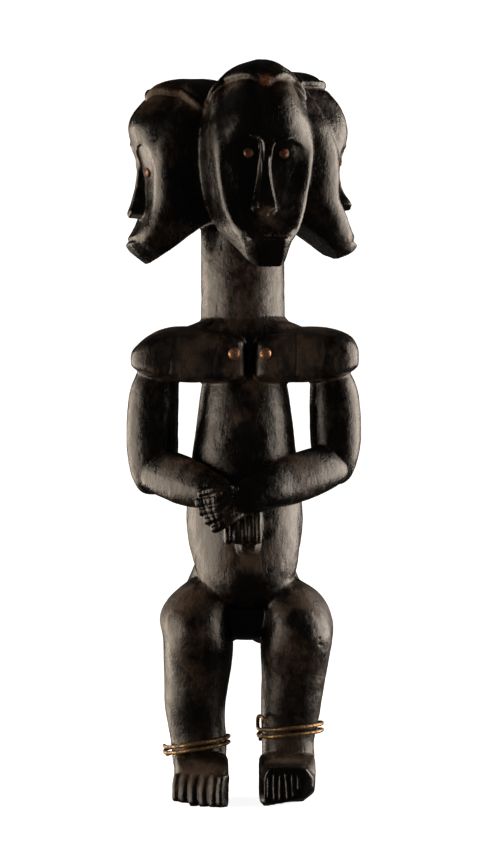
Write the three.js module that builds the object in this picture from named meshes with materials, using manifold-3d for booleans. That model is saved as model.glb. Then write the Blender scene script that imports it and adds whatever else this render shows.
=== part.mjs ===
// A standing carved wood figure with three like heads on one neck.
// Millimetres, +Z up. The figure looks along -Y, +X is the viewer's right, and it stands on Z = 0.
import * as THREE from 'three';
import { mergeVertices } from 'three/addons/utils/BufferGeometryUtils.js';
import Module from 'manifold-3d';

const wasm = await Module();
wasm.setup();

// Heights on a face, from the point of the jaw up to the hair.
const jawZ = 421;
const chinZ = 441;
const mouthZ = 444;
const lipZ = 447;
const noseFootZ = 463;
const noseTipZ = 466;
const eyeZ = 510;
const browZ = 521;
const foreheadZ = 536;
const hairlineZ = 565;

// The hairline is a raised roll in two lobes that meet in a dip over the nose.
const hairLobeRise = 5.5;
const hairRoll = 2.3;
const hairRollHeight = 3.8;

// Distances forward of the middle of the neck.
const foreheadReach = 93;
const noseReach = 93;
const noseX = -1.5;
const mouthReach = 93;
const cheekReach = 79;
const crownReach = 38;

const headHalfWidth = 42.5;
const eyeSpread = 14;
const neckX = -1;
const neckHalf = 33.4;

// The three heads: the way each looks, the top of its crown, and how its carving departs from the first.
const heads = [
  {
    name: 'front', yaw: 13, crownZ: 587, crownShift: 4, hairLift: 0, lobe: 1, narrow: 1, flare: 4.5, cheekOut: 2, cheekBack: 8,
    eyeDrop: 0, eyeX: -0.4, noseRise: 0, jawRise: 0, jawShift: 4.5, jawCut: -5, pull: [0, 0, 0, 0],
  },
  {
    name: 'left', yaw: -77, crownZ: 575, crownShift: 2, hairLift: -7.5, lobe: 1, narrow: 0.86, flare: 0, cheekOut: 11,
    cheekBack: 15, eyeDrop: 11, eyeX: -3, noseRise: 0, jawRise: 2, jawShift: 0, jawCut: 2, pull: [0, 0, 1, 2.5],
  },
  {
    name: 'right', yaw: 103, crownZ: 583, crownShift: 0, hairLift: 4, lobe: 0.35, narrow: 0.8, flare: 0, cheekOut: 13,
    cheekBack: 20, eyeDrop: 0, eyeX: -0.4, noseRise: 9, jawRise: 8, jawShift: 0, jawCut: 8, pull: [2, 6, 8, 14],
  },
];

// Shoulder plates, trunk and limbs.
const plateFootZ = 333;
const plateReach = 47;
const plateInnerX = 5;
const plateOuterLeft = -90;
const plateOuterRight = 91;
const armX = 71.8;
const armHalf = 20.6;
const navel = { x: 3.2, z: 206, baseHalf: 12.5, tipHalf: 6.8 };
const toeReach = 62;
const heelReach = 32;
const instepZ = 39;
const heelTopZ = 33;

const tackSeatDepth = 1.2;
const tackRim = 0.7;
const gap = 0.3;
const eyeTackRadius = 4.2;
const nippleTackRadius = 4.8;
const wireRadius = 1.6;

const smooth = (from, to, x) => THREE.MathUtils.smoothstep(x, from, to);
const mix = (a, b, t) => THREE.MathUtils.lerp(a, b, t);
const hump = (x, centre, spread) => Math.exp(-(((x - centre) / spread) ** 2));
const power = (x, exponent) => Math.sign(x) * Math.abs(x) ** exponent;

// A smooth curve through stations of [place, value], in rising order of place.
function profile(...stations) {
  const last = stations.length - 1;
  const slopes = stations.map((station, i) => {
    const before = stations[Math.max(i - 1, 0)];
    const after = stations[Math.min(i + 1, last)];
    return (after[1] - before[1]) / (after[0] - before[0]);
  });
  return (place) => {
    const at = THREE.MathUtils.clamp(place, stations[0][0], stations[last][0]);
    let i = 0;
    while (i < last - 1 && at > stations[i + 1][0]) i += 1;
    const [x0, y0] = stations[i];
    const [x1, y1] = stations[i + 1];
    const span = x1 - x0;
    const t = (at - x0) / span;
    const bend0 = slopes[i] * span;
    const bend1 = slopes[i + 1] * span;
    return y0 + t * (bend0 + t * (3 * (y1 - y0) - 2 * bend0 - bend1 + t * (2 * (y0 - y1) + bend0 + bend1)));
  };
}

// A closed form: a sphere's net whose points are placed by column and row.
// Columns run anticlockwise seen from above, rows run from the top down, and both ends are one point.
function shaped(columns, rows, place) {
  const geometry = new THREE.SphereGeometry(1, columns, rows);
  const { position, uv } = geometry.attributes;
  for (let i = 0; i < position.count; i += 1) {
    const row = Math.round((1 - uv.getY(i)) * rows);
    const end = row === 0 || row === rows;
    const column = end ? 0 : Math.round(uv.getX(i) * columns) % columns;
    position.setXYZ(i, ...place(column, row));
  }
  return geometry;
}

function solid(geometry) {
  geometry.deleteAttribute('normal');
  geometry.deleteAttribute('uv');
  const merged = mergeVertices(geometry, 1e-4);
  return new wasm.Manifold(new wasm.Mesh({
    numProp: 3,
    vertProperties: Float32Array.from(merged.attributes.position.array),
    triVerts: Uint32Array.from(merged.index.array),
  }));
}

const join = (forms) => forms.reduce((whole, form) => whole.add(form));

// A rounded-square ring of the given half sizes.
function ring(turn, halfX, halfY, roundness = 2) {
  const angle = turn * 2 * Math.PI;
  return [halfX * power(Math.cos(angle), 2 / roundness), halfY * power(Math.sin(angle), 2 / roundness)];
}

// An upright form: its middle, half width and half depth follow the height.
function upright({ columns, rows, footZ, topZ, centreX, centreY, halfX, halfY, roundness = 2, ends = 5 }) {
  return shaped(columns, rows, (column, row) => {
    const along = Math.cos((Math.PI * row) / rows);
    const z = mix(footZ, topZ, (1 + along) / 2);
    const round = (1 - Math.abs(along) ** ends) ** (1 / ends);
    const [x, y] = ring(column / columns, halfX(z) * round, halfY(z) * round, roundness);
    return [centreX(z) + x, centreY(z) + y, z];
  });
}

// A limb along a curve, with half sizes across and up given along its length from 0 to 1.
function limb({ columns, rows, points, across, up, ends = 4, facing = [0, 0, 1] }) {
  const curve = new THREE.CatmullRomCurve3(points.map((point) => new THREE.Vector3(...point)));
  const outward = new THREE.Vector3(...facing);
  return shaped(columns, rows, (column, row) => {
    const along = Math.cos((Math.PI * row) / rows);
    const t = (1 - along) / 2;
    const centre = curve.getPointAt(t);
    const ahead = curve.getTangentAt(t);
    const side = new THREE.Vector3().crossVectors(ahead, outward).normalize();
    const over = new THREE.Vector3().crossVectors(side, ahead);
    const round = (1 - Math.abs(along) ** ends) ** (1 / ends);
    const [x, y] = ring(column / columns, across(t) * round, up(t) * round);
    return centre.addScaledVector(side, x).addScaledVector(over, y).toArray();
  });
}

// The face as seen from the side: the middle line without the nose, then the nose, then the face's edge.
const middleLine = profile(
  [jawZ, 74], [427, 80], [433, 87], [chinZ, mouthReach], [lipZ, mouthReach - 1], [455, 87], [noseFootZ, 83],
  [490, 81], [508, 85], [browZ, 89.5], [foreheadZ, foreheadReach], [550, 90], [hairlineZ, 79.5],
);
const noseLine = profile([noseFootZ, noseReach], [noseTipZ, noseReach], [478, 89.5], [490, 86.8], [508, 86], [browZ, 87]);
const noseHalf = profile([noseFootZ, 9], [467, 8.8], [474, 7.4], [490, 4.7], [507, 3.3], [browZ, 3.4]);
const edgeLine = profile(
  [jawZ, 63], [431, 75], [chinZ, 85], [lipZ, 89], [455, 85.5], [470, cheekReach], [497, cheekReach],
  [515, 78], [foreheadZ, 72], [550, 66], [hairlineZ, 57],
);
const edgeHalf = profile(
  [jawZ, 12.5], [431, 16], [chinZ, 18.8], [lipZ, 22.5], [455, 27], [475, 33], [497, 36.5], [515, 38],
  [foreheadZ, 36.5], [550, 31], [570, 25],
);
const sideHalf = profile(
  [jawZ, 9], [431, 12.5], [440, 15.5], [452, 21], [466, 28.5], [479, 36], [497, headHalfWidth - 1.5],
  [foreheadZ, headHalfWidth], [550, 40.5], [570, 36],
);

// How far the hair line drops from the top of a lobe, from over the nose round to the back of the side.
const hairDrop = profile(
  [0, 5.6], [0.1, 5.2], [0.25, 3], [0.4, 1], [0.55, 0.1], [0.7, 0.2], [0.85, 1], [1, 2.6], [1.2, 7],
  [1.4, 13.5], [1.6, 19], [1.8, 22], [2, 22],
);

function faceReach(t, z, narrow) {
  const share = Math.abs(t) / (edgeHalf(z) * narrow);
  // The chin is a flat block with a facet down each side, and the face above it is rounded across.
  const facet = THREE.MathUtils.clamp((share - 0.62) / 0.38, 0, 1.5) ** 1.2;
  const bow = mix(3.2, 2, smooth(449, noseFootZ, z)) + smooth(498, 518, z);
  const across = mix(facet, Math.min(share, 1.2) ** bow, smooth(chinZ, 449, z));
  let reach = mix(middleLine(z), edgeLine(z), across);
  const cheeks = smooth(lipZ, 475, z) * (1 - smooth(492, 508, z));
  reach -= 2 * cheeks * Math.sin(Math.PI * Math.min(share, 1));
  // The eyes lie a little under the brows, which run out from the top of the nose.
  const aside = Math.abs(t - noseX);
  const browAt = browZ - 13 * (1 - smooth(2, 7, aside)) - 5 * smooth(17, 32, aside);
  const socket = (1 - smooth(browAt - 2.4, browAt + 0.6, z)) * smooth(480, 506, z);
  reach -= 1.8 * socket * (1 - smooth(0.65, 0.95, share));
  if (z > noseFootZ + 0.5 && z < browZ) {
    const body = 1 - smooth(0.8, 1.2, aside / noseHalf(z));
    reach += Math.max(noseLine(z) - reach, 0) * body;
  }
  reach -= 1.4 * hump(z, mouthZ + 0.6, 1.2) * (1 - smooth(0.7, 1, share));
  return reach;
}

const faceColumns = 14;
const sideColumns = 2;
const backColumns = 2;
const headColumns = faceColumns + 2 * sideColumns + backColumns;
const faceLevels = [
  548, 534, browZ + 1, 517, 511, 502, 488, 476, noseTipZ, noseFootZ, 455, lipZ, mouthZ, chinZ, 431, jawZ,
];
const domeSteps = [1, 0.65, 0.3];

// Where a column runs round the head at one height: 0 to 1 across the face, sides and back apart.
// From the rim of the face the cheek turns over within a short way, and then the side runs straight back.
function headOutline(column, z, head) {
  const narrow = mix(1, head.narrow, smooth(431, 455, z));
  const rim = edgeHalf(z) * narrow;
  if (column <= faceColumns) {
    const share = power((2 * column) / faceColumns - 1, 1.3);
    const t = share * rim;
    return { t, reach: faceReach(t, z, narrow), around: Math.abs(share), side: 0 };
  }
  const past = column - faceColumns;
  const left = past > sideColumns + backColumns;
  const side = left ? (headColumns - column) / sideColumns : Math.min(past / sideColumns, 1);
  if (!left && past > sideColumns) {
    const t = sideHalf(z) * (1 - (2 * (past - sideColumns)) / backColumns) * 0.9;
    return { t, reach: -14, around: 1, side: 1 };
  }
  const flare = head.flare * smooth(430, 452, z) * (1 - smooth(540, 562, z));
  const cheekOut = Math.max(sideHalf(z) * 1.02 - rim - flare, head.cheekOut * smooth(421, 450, z));
  const behind = Math.max(2 * side - 1, 0);
  const t = mix(rim + cheekOut, sideHalf(z) * 0.96, behind) + flare * Math.sin(Math.PI * behind);
  const reach = mix(faceReach(rim, z, narrow) - head.cheekBack, 0, behind);
  return { t: (left ? -1 : 1) * t, reach, around: 1, side };
}

// How much less one head reaches forward than the first, at its mouth, cheek, forehead and hairline.
function pullOf(head) {
  const [mouth, cheek, forehead, hair] = head.pull;
  return profile([jawZ, mouth], [mouthZ, mouth], [480, cheek], [foreheadZ, forehead], [hairlineZ, hair]);
}

function headForm(head) {
  const pull = pullOf(head);
  const hairZ = ({ around, side }) => {
    const lobe = hairLobeRise - hairDrop(around + side);
    return hairlineZ + head.hairLift + (lobe > 0 ? head.lobe : 1) * lobe;
  };
  const rollRows = [
    { out: -2.4, up: hairRollHeight },
    { out: hairRoll * 0.75, up: hairRollHeight - 0.8 },
    { out: hairRoll, up: 0.5 },
    { out: -0.4, up: -2.6 },
  ];
  const rows = domeSteps.length + rollRows.length + faceLevels.length;
  const form = shaped(headColumns, rows, (column, row) => {
    const rollRow = row - domeSteps.length;
    const faceRow = rollRow - rollRows.length;
    if (row === rows) return [0, -crownReach, jawZ + head.jawRise];
    if (faceRow < 0) {
      const edge = headOutline(column, hairlineZ, head);
      edge.reach -= pull(hairlineZ) * smooth(20, 60, edge.reach);
      const rise = head.crownZ - (hairZ(edge) + hairRollHeight);
      const step = rollRow < 0 ? domeSteps[row] : 0;
      const inward = Math.cos((step * Math.PI) / 2);
      const { out, up } = rollRow < 0 ? rollRows[0] : rollRows[rollRow];
      const length = Math.hypot(edge.t, edge.reach - crownReach);
      const scale = (inward * (length + out)) / length;
      const z = hairZ(edge) + up + rise * Math.sin((step * Math.PI) / 2);
      const x = edge.t * scale * inward ** 0.6 + head.crownShift * Math.sin((step * Math.PI) / 2);
      return [x, -(crownReach + (edge.reach - crownReach) * scale), z];
    }
    const level = faceLevels[faceRow];
    const edge = headOutline(column, level, head);
    const follow = (hairZ(edge) - hairlineZ) * smooth(foreheadZ - 8, hairlineZ, level);
    const z = level + follow + head.noseRise * hump(level, noseTipZ, 16) + head.jawRise * (1 - smooth(jawZ, chinZ, level));
    const shift = head.jawShift * (1 - smooth(419, 445, level)) * smooth(30, 60, edge.reach);
    return [edge.t + shift, -(edge.reach - pull(level) * smooth(20, 60, edge.reach)), z];
  });
  return form;
}

// The underside of the jaw is one straight cut that rises from the chin to the neck.
function jawCut(head) {
  const frontReach = 77;
  const frontZ = 425 + head.jawCut;
  const slope = Math.atan2(30, 40);
  const length = 120;
  const height = 60;
  const cut = new THREE.BoxGeometry(120, length, height);
  cut.translate(0, length / 2, -height / 2);
  cut.rotateX(slope);
  cut.translate(0, -frontReach, frontZ);
  return cut;
}

function setHead(geometry, head) {
  return geometry.rotateZ(THREE.MathUtils.degToRad(head.yaw)).translate(neckX, 0, 0);
}

// Tacks: where each sits, the way it looks, and its radius.
function eyeSeats() {
  return heads.flatMap((head) => [-1, 1].map((hand) => {
    const z = eyeZ - head.eyeDrop;
    const t = head.eyeX + hand * eyeSpread;
    const reach = faceReach(t, z, head.narrow) - pullOf(head)(z);
    return { head, hand, t, reach, z };
  }));
}

function tackForm(radius) {
  const height = radius * 0.62;
  const dome = [0, 0.5, 1].map((step) => {
    const angle = (step * Math.PI) / 2;
    return new THREE.Vector2(radius * Math.sin(angle), height * Math.cos(angle));
  });
  const outline = [...dome, new THREE.Vector2(radius * 0.96, -tackRim), new THREE.Vector2(0, -tackRim)].reverse();
  return new THREE.LatheGeometry(outline, 8).rotateX(Math.PI / 2);
}

function seatForm(radius) {
  const depth = tackSeatDepth + 6;
  return new THREE.CylinderGeometry(radius + gap, radius + gap, depth, 12).translate(0, depth / 2 - tackSeatDepth, 0)
    .rotateX(Math.PI / 2);
}

function neckForm() {
  return upright({
    columns: 16, rows: 5, footZ: 350, topZ: 500, ends: 12,
    centreX: () => neckX, centreY: () => 0, halfX: () => neckHalf, halfY: () => 32,
  });
}

function crownForm() {
  return upright({
    columns: 12, rows: 5, footZ: 448, topZ: 568, ends: 2.6,
    centreX: () => neckX, centreY: () => 4, halfX: () => 50, halfY: () => 48,
  });
}

function trunkForm() {
  const half = profile([150, 36], [170, 39.5], [183, 41], [205, 45.2], [226, 46.6], [255, 44.3], [300, 38.8], [336, 35.6], [372, 36]);
  return upright({
    columns: 16, rows: 9, footZ: 146, topZ: 372, roundness: 2.15, ends: 4,
    centreX: () => 0.4, centreY: () => 1, halfX: half, halfY: (z) => half(z) * 0.94,
  });
}

const leftPlateTop = profile([-92, 358], [-86, 363.5], [-75, 371.5], [-60, 377], [-30, 378], [5, 374]);
const rightPlateTop = profile([2, 374], [35, 377], [60, 378], [76, 375], [86, 370], [92, 362]);

// The lower belly stands a little proud of the trunk and ends in an apron edge over the thighs.
function bellyForm() {
  return upright({
    columns: 12, rows: 5, footZ: 151, topZ: 256, ends: 3.2,
    centreX: () => 2, centreY: () => -8, halfX: profile([151, 31], [160, 33], [178, 39], [200, 42], [230, 44]), halfY: () => 38,
  });
}

// The two loaf-shaped shoulder plates meet in a groove on the breast and in one back.
function yokeForms() {
  const plates = [[plateOuterLeft, plateInnerX - 3], [plateOuterRight, plateInnerX + 3]].map(([outer, inner]) => {
    const hand = Math.sign(outer);
    const topZ = hand < 0 ? leftPlateTop : rightPlateTop;
    return shaped(16, 9, (column, row) => {
      const along = Math.cos((Math.PI * row) / 9);
      const t = (1 + along) / 2;
      const x = mix(inner, outer, t);
      const away = Math.abs(x - inner) / Math.abs(outer - inner);
      const round = (1 - Math.abs(along) ** 7) ** (1 / 7);
      const footZ = plateFootZ + 11 * away ** 5;
      const turn = hand * (column / 16);
      const [y, z] = ring(turn, 1, 1, mix(5, 4.2, away ** 4));
      const depth = mix(plateReach, 40, away ** 9);
      const back = mix(40, 30, away ** 2);
      const halfY = ((depth + back) / 2) * round;
      const halfZ = ((topZ(x) - footZ) / 2) * round;
      const fall = 6.5 * Math.max(-y, 0) ** 1.6 * Math.max(z, 0) ** 1.5 * (1 - 0.5 * away ** 4);
      return [x, (back - depth) / 2 + y * halfY + 2.5 * z, (topZ(x) + footZ) / 2 + z * halfZ - fall];
    });
  });
  const collar = upright({
    columns: 12, rows: 5, footZ: 346, topZ: 388, ends: 6, roundness: 2.2,
    centreX: () => 0, centreY: () => 1, halfX: profile([350, 84], [366, 74], [374, 56], [382, 36]), halfY: () => 34,
  });
  return [...plates, collar];
}

function armForms(hand) {
  const outerBow = (z) => hand * (armX + 1.5 * hump(z, 290, 30) - 3 * smooth(320, 350, z));
  const upperArm = upright({
    columns: 12, rows: 8, footZ: hand < 0 ? 243 : 251, topZ: 352, ends: hand < 0 ? 3 : 2.6, roundness: 2.2,
    centreX: outerBow, centreY: () => 1, halfX: () => armHalf, halfY: () => 21,
  });
  const points = hand < 0
    ? [[-80, 4, 264], [-60, -16, 259.5], [-42, -34, 253], [-22, -48, 246], [0, -55, 237]]
    : [[80, 4, 270], [56, -20, 262.5], [36, -37, 255.5], [18, -52, 249], [-4, -60.5, 241], [-24, -60, 234]];
  const forearm = limb({
    columns: 12, rows: 7, points, ends: 3,
    across: hand < 0 ? (t) => mix(19, 11, t) : profile([0, 19], [0.82, 11.5], [1, 7.5]), up: (t) => mix(19.5, 12.5, smooth(0.4, 1, t)),
  });
  return [upperArm, forearm];
}

// Across the other wrist lie a thumb and four fingers: x and z from the knuckle to the tip, and the half thickness.
const crossedFingers = [
  { points: [[0, 252], [-21, 248.8], [-35.5, 244.4]], half: 3.2 },
  { points: [[2, 251], [-16, 244.6], [-37.6, 238]], half: 4.6 },
  { points: [[2, 246], [-16, 237.2], [-35, 230.4]], half: 4.1 },
  { points: [[2, 240], [-16, 230.2], [-30.6, 224]], half: 4 },
  { points: [[2, 232], [-16, 221.8], [-25, 217.4]], half: 3.6 },
];
// Under them hang five fingers: the middle of each, its half width and the height of its knuckle.
const hangingFingers = [
  { x: -12.6, half: 3, knuckleZ: 220 },
  { x: -5.7, half: 3.6, knuckleZ: 224 },
  { x: 0.3, half: 2.7, knuckleZ: 226 },
  { x: 5.9, half: 3.1, knuckleZ: 230 },
  { x: 11.7, half: 2.5, knuckleZ: 233 },
];
const hangingTipZ = 206;

function handForms() {
  const fingerReach = (x) => 67 - 7 * smooth(-x, 18, 38) - 9 * smooth(-12, 2, x);
  const crossed = crossedFingers.map(({ points, half }) => limb({
    columns: 6, rows: 4, points: points.map(([x, z]) => [x, -fingerReach(x), z]),
    across: () => 4.2, up: () => half, ends: 6,
  }));
  const palm = limb({
    columns: 10, rows: 5, points: [[14, -49, 249], [0, -57, 243], [-16, -61.5, 236], [-32, -58.5, 229]],
    across: () => 7.5, up: (t) => mix(10, 13.5, smooth(0, 0.5, t)),
  });
  const hanging = hangingFingers.map(({ x, half, knuckleZ }) => limb({
    columns: 6, rows: 4, facing: [0, -1, 0],
    points: [[x, -52, knuckleZ + 8], [x - 0.2, -56.5, mix(knuckleZ, 206, 0.4)], [x, -54.5, hangingTipZ]],
    across: () => half, up: () => 4.6, ends: 6,
  }));
  const lowerPalm = limb({
    columns: 10, rows: 4, points: [[1, -44, 240], [1, -47, 226], [1, -45, 208]], facing: [0, -1, 0],
    across: () => 13.5, up: () => 7.4,
  });
  return [...crossed, palm, ...hanging, lowerPalm];
}

// A blunt cone that stands out of the belly.
function navelForm() {
  const half = (t) => mix(navel.baseHalf, navel.tipHalf, smooth(0.3, 1, t));
  return limb({
    columns: 10, rows: 5, points: [[navel.x, -30, navel.z + 1], [navel.x, -44, navel.z - 1], [navel.x, -54, navel.z - 2.2]],
    across: half, up: half, ends: 7,
  });
}

// Legs: outer and inner edges, and the front and back, by height.
const legEdges = {
  left: {
    outer: profile([10, -56], [31, -57.5], [47, -59], [71, -63], [100, -64], [127, -64.3], [143, -67.3], [151, -66.3], [159, -62], [167, -54.5], [175, -44.5], [182, -34]),
    inner: profile([10, -13], [47, -14], [71, -15.2], [100, -11], [119, -8.6], [131, -8.6], [150, -9], [165, -5]),
  },
  right: {
    outer: profile([10, 55], [31, 57], [47, 56.5], [71, 61], [90, 64], [119, 69], [139, 71.4], [151, 69], [159, 65.3], [167, 58.5], [175, 46], [182, 36]),
    inner: profile([10, 13], [47, 14], [71, 13.5], [100, 14], [119, 13.2], [131, 13.2], [150, 13.4], [165, 8]),
  },
};
const legFront = profile(
  [10, 24], [47, 21.5], [62, 23.5], [78, 29], [100, 35], [112, 40.5], [123, 45.5], [135, 47.5], [150, 43],
  [160, 37], [175, 27], [190, 20],
);
const legBack = profile([10, 26], [47, 21.5], [62, 23.5], [85, 33], [105, 33], [120, 30], [150, 44], [190, 40]);

function legForm(edges) {
  return upright({
    columns: 12, rows: 12, footZ: 8, topZ: 188, ends: 6, roundness: 2.3,
    centreX: (z) => (edges.outer(z) + edges.inner(z)) / 2, centreY: (z) => (legBack(z) - legFront(z)) / 2,
    halfX: (z) => Math.abs(edges.outer(z) - edges.inner(z)) / 2, halfY: (z) => (legFront(z) + legBack(z)) / 2,
  });
}

function hipForms() {
  const pelvis = upright({
    columns: 14, rows: 6, footZ: 127, topZ: 186, ends: 3.4, roundness: 2.4,
    centreX: () => 2, centreY: () => 11, halfX: () => 42.5, halfY: () => 36,
  });
  const buttocks = [-1, 1].map((hand) => upright({
    columns: 12, rows: 6, footZ: 122, topZ: 206, ends: 2.6, roundness: 2.2, centreX: () => hand * 24, centreY: () => 20,
    halfX: profile([124, 30], [145, 34], [175, 21], [205, 12]), halfY: profile([124, 32], [140, 36], [175, 31], [205, 20]),
  }));
  return [pelvis, ...buttocks];
}

// The soles are worn: the left one at its outer front, the right one in a ramp that rises to its outer corner.
const feet = [
  {
    x: -34, half: 21.6, toeTopZ: 25.5, roundness: 3.6,
    soleZ: (x, forward) => 3.4 * smooth(-x, 32, 53) * smooth(18, 46, forward),
  },
  {
    x: 34.2, half: 22.4, toeTopZ: 31.5, roundness: 5,
    soleZ: (x, forward) => {
      const ramp = THREE.MathUtils.clamp((x - 16) / 31, 0, 1) * THREE.MathUtils.clamp((forward - 18) / 42, 0, 1);
      return 6.8 * ramp + 7.5 * smooth(46, 56, x) * (0.4 + 0.6 * smooth(-10, 60, forward));
    },
  },
];
const footColumns = 18;
const footCentreY = (heelReach - toeReach) / 2;
const footHalfLength = (heelReach + toeReach) / 2;

// The left foot is turned out, so its outer toes lie further back.
const leftToeReach = (x) => toeReach - 0.4 * THREE.MathUtils.clamp(-15 - x, 0, 40);

function footForm(foot) {
  const rings = [
    { scale: 0.55, high: 1 }, { scale: 0.86, high: 0.98 }, { scale: 0.97, high: 0.9 }, { scale: 1, high: 0.72 },
    { scale: 1, high: 0.12 }, { scale: 0.97, high: 0 },
  ];
  return shaped(footColumns, rings.length + 1, (column, row) => {
    if (row === 0) return [foot.x, footCentreY, instepZ];
    if (row === rings.length + 1) return [foot.x, footCentreY, 0];
    const { scale, high } = rings[row - 1];
    const [x, y] = ring(column / footColumns, foot.half * scale, footHalfLength * scale, foot.roundness);
    let forward = -(footCentreY + y);
    if (foot.x < 0) forward *= mix(1, (leftToeReach(foot.x + x) - 4) / 61.5, smooth(0, 30, forward));
    const topZ = mix(mix(heelTopZ, instepZ, smooth(0, 20, forward)), foot.toeTopZ, smooth(20, 52, forward));
    const shoulder = foot.x > 0 ? 10 * smooth(0.6, 1.05, Math.abs(x) / foot.half) * smooth(30, 56, forward) : 0;
    return [foot.x + x, -forward, mix(foot.soleZ(foot.x + x, forward), topZ - shoulder, high)];
  });
}

// The toes of the left foot: the middle and half width of each.
const toes = [[-51.6, 3], [-45.8, 4], [-38.2, 3.6], [-30.4, 3.8], [-22.6, 4.2], [-16.6, 3]];

function toeForms() {
  const turn = THREE.MathUtils.degToRad(-36);
  const [foot] = feet;
  return toes.map(([x, half]) => {
    const reach = leftToeReach(x);
    const footZ = foot.soleZ(x, 60);
    const topZ = foot.toeTopZ - 0.03 * Math.abs(x + 30);
    return shaped(6, 3, (column, row) => {
      const along = Math.cos((Math.PI * row) / 3);
      const round = (1 - Math.abs(along) ** 7) ** (1 / 7);
      const z = mix(footZ, topZ, (1 + along) / 2);
      const [across, back] = ring(column / 6, half * round, 6 * round, 3.2);
      const away = back + 2.2 * smooth(14, 27, z);
      return [
        x + across * Math.cos(turn) - away * Math.sin(turn),
        -reach + 6.5 * Math.cos(turn) + across * Math.sin(turn) + away * Math.cos(turn),
        z,
      ];
    });
  });
}

// The right foot has lost its toes to a flat cut across its front, with a smaller cut at the outer corner.
function toeCuts() {
  return [
    { point: [34, -58.6, 15], away: [-0.05, -1, 0] },
    { point: [47.5, -58.4, 15], away: [0.5, -0.85, -0.12] },
  ].map(({ point, away }) => {
    const turn = new THREE.Quaternion().setFromUnitVectors(
      new THREE.Vector3(0, -1, 0), new THREE.Vector3(...away).normalize(),
    );
    return new THREE.BoxGeometry(90, 40, 90).translate(0, -20, 0).applyQuaternion(turn).translate(...point);
  });
}

// A wire wound round one ankle from the left, tilted as it sits, with its free ends bent.
function ankleWire({ x, z, halfX, halfY, tilt, pitch, turns, startBend, endBend }) {
  const steps = 12;
  const wound = [];
  for (let i = 0; i <= steps * turns; i += 1) {
    const angle = (2 * Math.PI * i) / steps - Math.PI;
    const drop = (pitch * i) / steps;
    wound.push([x + halfX * Math.cos(angle), halfY * Math.sin(angle), z + tilt * Math.cos(angle) - drop]);
  }
  const points = [...startBend, ...wound, ...endBend].map((point) => new THREE.Vector3(...point));
  const section = new THREE.Shape();
  section.absarc(0, 0, wireRadius, 0, 2 * Math.PI);
  return new THREE.ExtrudeGeometry(section, {
    steps: points.length + 2, curveSegments: 3, bevelEnabled: false, extrudePath: new THREE.CatmullRomCurve3(points),
  });
}

function toMesh(name, geometry, material) {
  const mesh = new THREE.Mesh(geometry, material);
  mesh.name = name;
  return mesh;
}

const wood = new THREE.MeshStandardMaterial({ color: '#1b1512', roughness: 0.35, metalness: 0 });
const brass = new THREE.MeshStandardMaterial({ color: '#8a6236', roughness: 0.4, metalness: 1 });

// The origin is on the ground under the middle of the figure's box, so the neck stands a little behind it.
const boxMiddle = { x: -0.1, y: -19.565 };
const group = new THREE.Group();
group.position.set(-boxMiddle.x, -boxMiddle.y, 0);

let carved = join([
  ...heads.map((head) => solid(setHead(headForm(head), head)).subtract(solid(setHead(jawCut(head), head)))),
  ...[neckForm(), crownForm(), trunkForm(), bellyForm(), ...yokeForms()].map(solid),
  ...[-1, 1].flatMap(armForms).map(solid),
  ...[...handForms(), navelForm(), legForm(legEdges.left), legForm(legEdges.right), ...hipForms()].map(solid),
  solid(footForm(feet[0])),
  ...toeForms().map(solid),
  toeCuts().map(solid).reduce((form, cut) => form.subtract(cut), solid(footForm(feet[1]))),
]);

const tackNames = { front: ['left', 'right'], left: ['far', 'near'], right: ['near', 'far'] };
eyeSeats().forEach(({ head, hand, t, reach, z }) => {
  const seat = seatForm(eyeTackRadius).translate(t, -reach, z);
  carved = carved.subtract(solid(setHead(seat, head)));
  const tack = tackForm(eyeTackRadius).translate(t, -(reach - tackSeatDepth + tackRim + gap), z);
  const side = tackNames[head.name][hand < 0 ? 0 : 1];
  group.add(toMesh(`eye_tack_${head.name}_${side}`, setHead(tack, head), brass));
});

const nipples = [
  { name: 'left', x: -7.7, z: 355 },
  { name: 'right', x: 16.9, z: 355 },
];
nipples.forEach(({ name, x, z }) => {
  const seat = seatForm(nippleTackRadius).translate(x, -plateReach, z);
  carved = carved.subtract(solid(seat));
  const tack = tackForm(nippleTackRadius).translate(x, -(plateReach - tackSeatDepth + tackRim + gap), z);
  group.add(toMesh(`nipple_tack_${name}`, tack, brass));
});

const wires = {
  left: {
    x: -37.8, z: 47.5, halfX: 26.3, halfY: 27.5, tilt: 5, pitch: 4.6, turns: 2,
    startBend: [], endBend: [],
  },
  right: {
    x: 36.9, z: 60, halfX: 25.8, halfY: 27.2, tilt: 3.4, pitch: 5.4, turns: 2,
    startBend: [[18, -24.5, 63.5], [15.5, -25.5, 67.5], [12, -20, 69], [10.8, -10, 65.5]], endBend: [],
  },
};
Object.entries(wires).forEach(([name, wire]) => {
  group.add(toMesh(`ankle_wire_${name}`, ankleWire(wire), brass));
});

function fromManifold(manifold) {
  const mesh = manifold.getMesh();
  const geometry = new THREE.BufferGeometry();
  geometry.setAttribute('position', new THREE.BufferAttribute(mesh.vertProperties, 3));
  geometry.setIndex(new THREE.BufferAttribute(mesh.triVerts, 1));
  return geometry;
}

group.add(toMesh('figure', fromManifold(carved), wood));

export default group;
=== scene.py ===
import math

import bpy
import numpy as np
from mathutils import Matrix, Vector
from mathutils.bvhtree import BVHTree


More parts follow.
